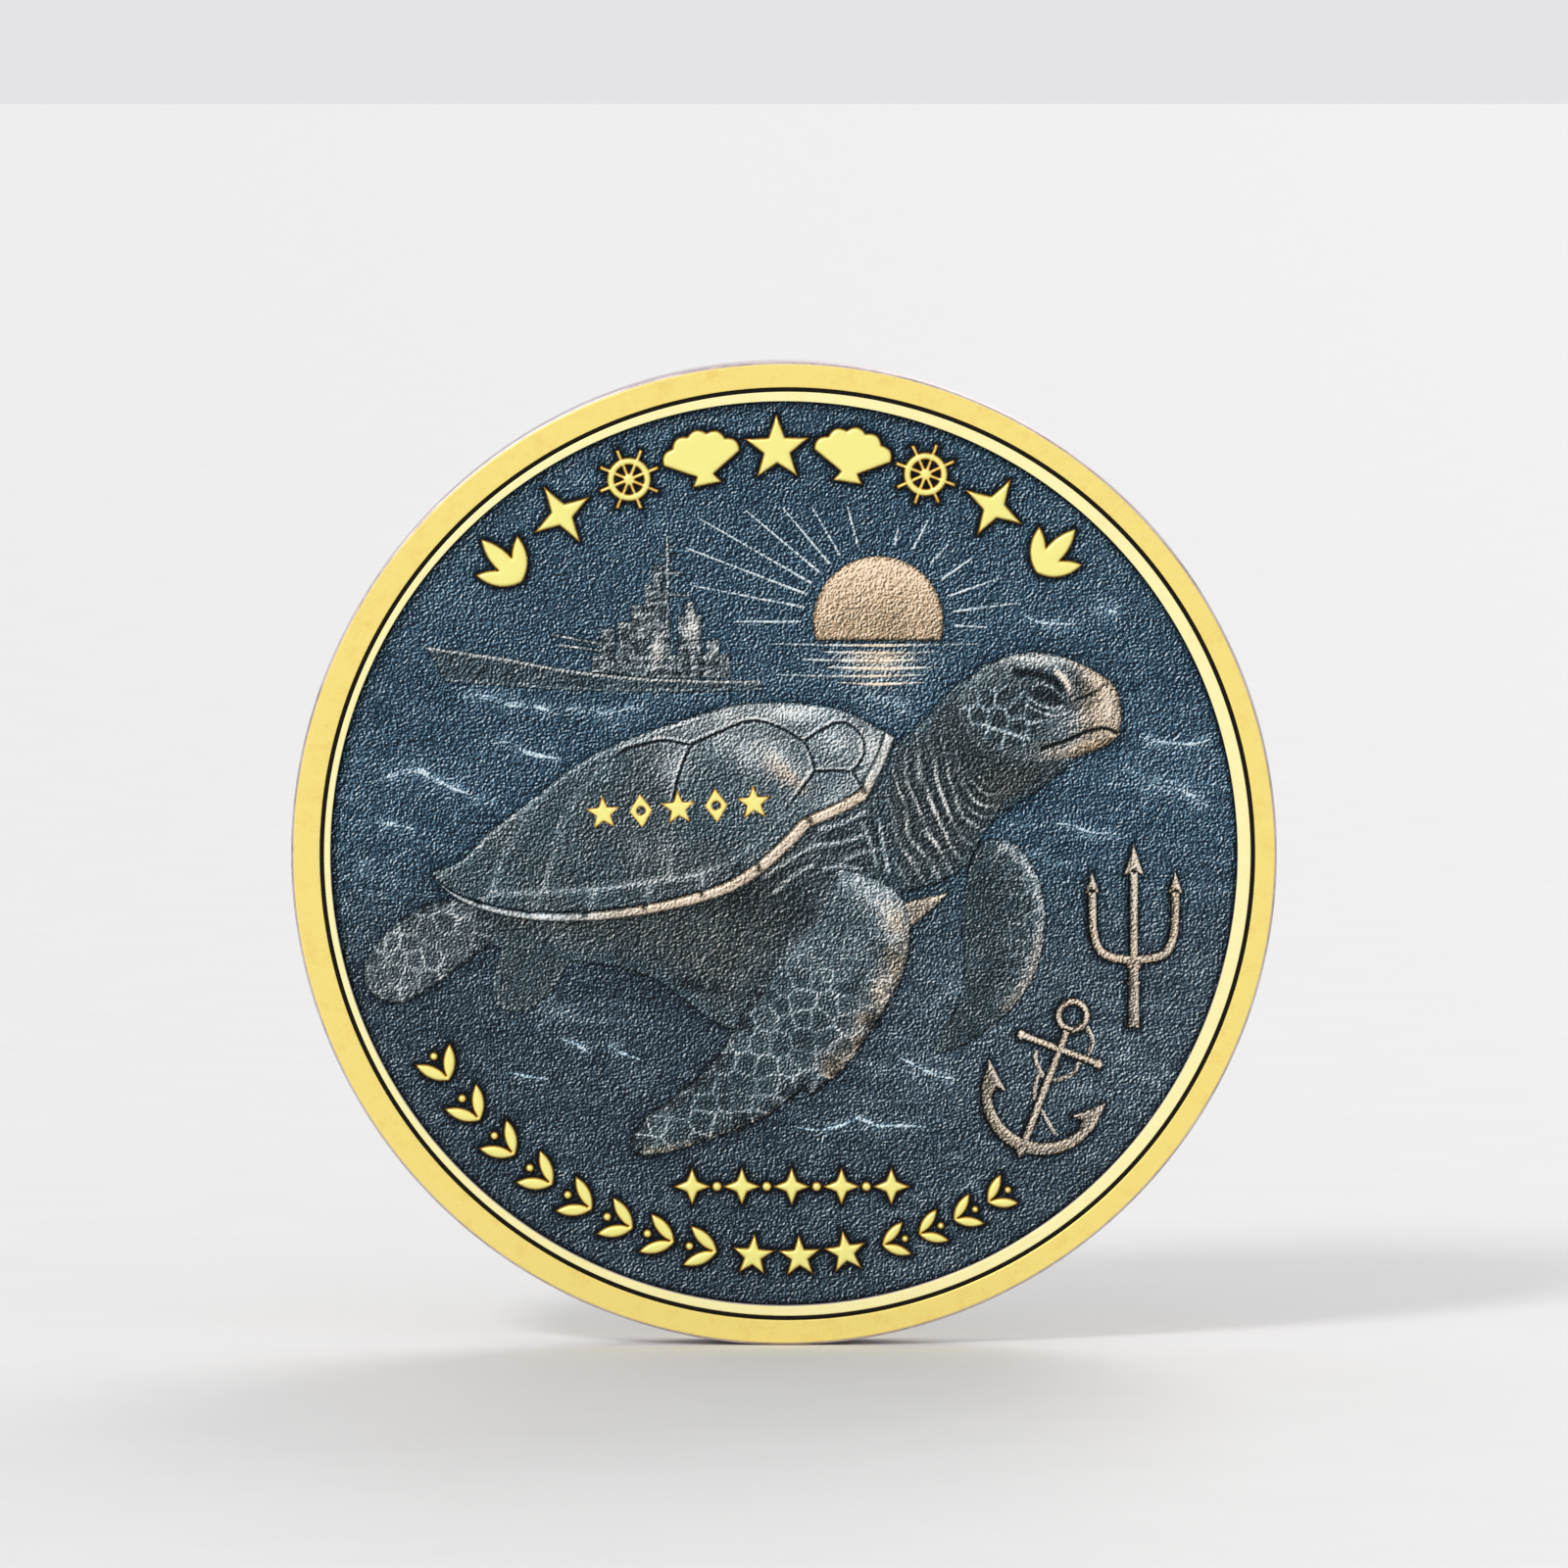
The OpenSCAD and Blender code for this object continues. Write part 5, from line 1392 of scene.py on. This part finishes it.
def sea_field(p, d):
    x, y = p.T
    sea = soft_step((HORIZON_Y - 0.2 - y) / 0.6)
    swell = rough(turned(p, 6), (2.6, 0.62), 131)
    crestline = np.clip(1 - np.abs(noise(turned(p, 4), (2.2, 0.5), 132)) * 7, 0, 1)
    patches = soft_step(noise(p, 3.2, 133) * 1.4 + 0.1)
    z = (0.006 * swell * sea + 0.009 * rough(p, 0.42, 134)) * soft_step(d / 0.4)
    # Painted shadow round the turtle
    painted_turtle_shadow = np.exp(-distance_to(p, np.vstack([f.loops[0] for f in TURTLE])) / 0.25)
    # Dark outlines round the gold work, trident and anchor: antiquing with painted shade at their feet
    outlines = bell(distance_to(p, border_points(GOLD_WORK)), 0.17)
    emblems = border_points([TRIDENT, ANCHOR, SHACKLE])
    outlines = outlines + 0.6 * bell(distance_to(p, emblems), 0.16)
    foam = np.max([ridge(p, points, 0.2 + w / 2) for w, points in WAVES], axis=0)
    glow = bell(x - SUN_X, 1.5) * np.exp(-np.abs(y - HORIZON_Y + 0.7) / 0.7) * sea
    foam = foam * (0.7 + 0.7 * noise(p, (0.5, 0.25), 136))
    tone = 0.38 + 0.05 * swell * sea + 0.18 * crestline * sea * patches + 0.2 * foam + 0.54 * glow
    tone = tone - 0.15 * painted_turtle_shadow - 0.5 * outlines + 0.03 * noise(p, 4.5, 135)
    # Darker along the pale ring: antiquing with painted shade at its foot
    tone = tone - 0.05 * soft_step((0.5 - d) / 0.5) - 0.36 * bell(d, 0.14)
    tone = tone - soft_step((2 - y) / 8) * (0.02 + 0.06 * soft_step((6 - x) / 12))
    warm = 0.8 * glow + 0.14 * soft_step((2 - y) / 8)
    return z, tone, warm


def back_grain(p, d):
    z = 0.009 * rough(p, 0.42, 141) * soft_step(d / 0.4)
    r = np.hypot(*p.T)
    tone = 0.4 + 0.03 * noise(p, 4.5, 142) - 0.1 * np.exp(-(np.abs(r - ROPE_RING_R) - 0.5) ** 2 / 0.05)
    return z, tone, 0.0


def fields():
    front = relief(disc(0, 0, FIELD_R), FRONT_FIELD_STEP, sea_field, FLOOR_Z, wear_rounds=6)
    piece("front_sea_enamel", front, "sea", ["front_field"])
    back = relief(disc(0, 0, FIELD_R), BACK_FIELD_STEP, back_grain, FLOOR_Z, wear_rounds=6)
    piece("back_grain_enamel", back, "sea", ["back_field"], True)


# ---------- Back face ----------

ROSE_R, ROSE_MINOR_R, ROSE_HUB_R = 12.2, 7.6, 2.2
ROPE_RING_R, ROPE_RING_W, ROPE_TURN_COUNT = 14, 0.9, 96
BEAD_RING_R, BEAD_D, BEAD_COUNT = 17.6, 0.9, 72


def sculpt_rose(p, d):
    z = 0.03 + np.minimum(0.27, 0.34 * d) + 0.005 * rough(p, 0.5, 151)
    half = np.sign(np.sin(4 * np.arctan2(p[:, 1], p[:, 0])))
    tone = 0.55 + 0.13 * half + 0.1 * soft_step(d / 0.1) + 0.06 * noise(p, 1.2, 152)
    return z, tone, 0.75


def sculpt_boss(p, d):
    z = 0.1 + 0.2 * dome(d, 0.9)
    return z, 0.25 + 0.35 * soft_step(d / 0.15), 0.5


def sculpt_rope_ring(p, d):
    r, a = np.hypot(*p.T), np.arctan2(p[:, 1], p[:, 0])
    strand = np.abs(np.sin(ROPE_TURN_COUNT * a / 2 + 2.6 * (r - ROPE_RING_R)))
    z = 0.03 + 0.26 * dome(d, ROPE_RING_W / 2) * (0.62 + 0.38 * dome(strand, 0.8))
    tone = 0.16 + 0.42 * soft_step(strand / 0.5) * soft_step(d / 0.15)
    return z, tone, 0.5


def sculpt_bead(p, d):
    z = 0.02 + 0.28 * dome(d, BEAD_D / 2)
    return z, 0.15 + 0.45 * soft_step(d / 0.12), 0.5


def rose_point(r):
    w = 0.14 * r
    return polygon([(0, r), (w, w), (0, 0), (-w, w)])


def bead_ring():
    verts, *rest = relief(disc(0, 0, BEAD_D / 2), ROSE_STEP, sculpt_bead, wear=1)
    beads = []
    for i in range(BEAD_COUNT):
        a = 2 * math.pi * i / BEAD_COUNT
        place = [BEAD_RING_R * math.cos(a), BEAD_RING_R * math.sin(a), 0]
        beads.append((verts + place, *rest))
    return joined(beads)


def back_face():
    points = [rose_point(ROSE_MINOR_R if i % 2 else ROSE_R).moved(turn=45 * i) for i in range(8)]
    hub = disc(0, 0, ROSE_HUB_R / 2)
    rose_data = relief(union(points) - hub, ROSE_STEP, sculpt_rose, wear=1)
    piece("compass_rose_relief", rose_data, "bronze", ["compass_rose"], True)
    ring = disc(0, 0, ROPE_RING_R + ROPE_RING_W / 2) - disc(0, 0, ROPE_RING_R - ROPE_RING_W / 2)
    gold_work = [("compass_boss", relief(hub, BACK_STEP, sculpt_boss, wear=1)),
                 ("rope_ring", relief(ring, BACK_STEP, sculpt_rope_ring, wear=1)),
                 ("bead_border", bead_ring())]
    for node, data in gold_work:
        piece(node + "_gold", data, "ornament", [node], True)


# ---------- Stage ----------


FLOOR_SIZE = 6


def stage_floor():
    bpy.ops.mesh.primitive_plane_add(size=FLOOR_SIZE, location=(0, 0, cad_low.z))
    floor = bpy.context.object
    floor.name = "floor"
    n = Nodes("pale_floor")
    colour = n.ramp(n.noise(6.0, 3.0), [(0.3, srgb(217, 216, 214)), (0.7, srgb(219, 218, 216))])
    floor.data.materials.append(n.finish(colour, 0.0, 0.6))


def sun_lamp(name, azimuth, elevation, strength, softness):
    """Soft parallel light from a direction: azimuth 0 is the front, 90 the right."""
    data = bpy.data.lights.new(name, "SUN")
    data.energy = strength
    data.angle = math.radians(softness)
    light = bpy.data.objects.new(name, data)
    light.rotation_euler = (math.radians(90 - elevation), 0, math.radians(azimuth))
    bpy.context.scene.collection.objects.link(light)


def studio():
    world = bpy.data.worlds.new("studio")
    world.use_nodes = True
    background = world.node_tree.nodes["Background"]
    background.inputs["Color"].default_value = (0.97, 0.97, 1, 1)
    background.inputs["Strength"].default_value = 0.8
    bpy.context.scene.world = world
    sun_lamp("key", azimuth=-35, elevation=40, strength=1.3, softness=14)
    sun_lamp("back", azimuth=160, elevation=35, strength=0.7, softness=30)
    bpy.context.scene.view_settings.view_transform = "Standard"


CAMERA_DISTANCE = 0.6
CAMERA_ELEVATION = 4
AIM_Z = 0.00310
LENS = 305


def camera():
    data = bpy.data.cameras.new("camera")
    data.lens = LENS
    data.sensor_width = 36
    data.clip_start = 0.01
    obj = bpy.data.objects.new("camera", data)
    bpy.context.scene.collection.objects.link(obj)
    e = math.radians(CAMERA_ELEVATION)
    aim = Vector((0, 0, AIM_Z))
    away = Vector((0, -math.cos(e), math.sin(e)))
    obj.location = aim + away * CAMERA_DISTANCE
    obj.rotation_euler = (-away).to_track_quat("-Z", "Y").to_euler()
    bpy.context.scene.camera = obj


coin_core()
face_rings("front", False)
face_rings("back", True)
turtle()
sun_and_sea()
warship()
trident_and_anchor()
ornaments()
fields()
back_face()
stage_floor()
studio()
camera()
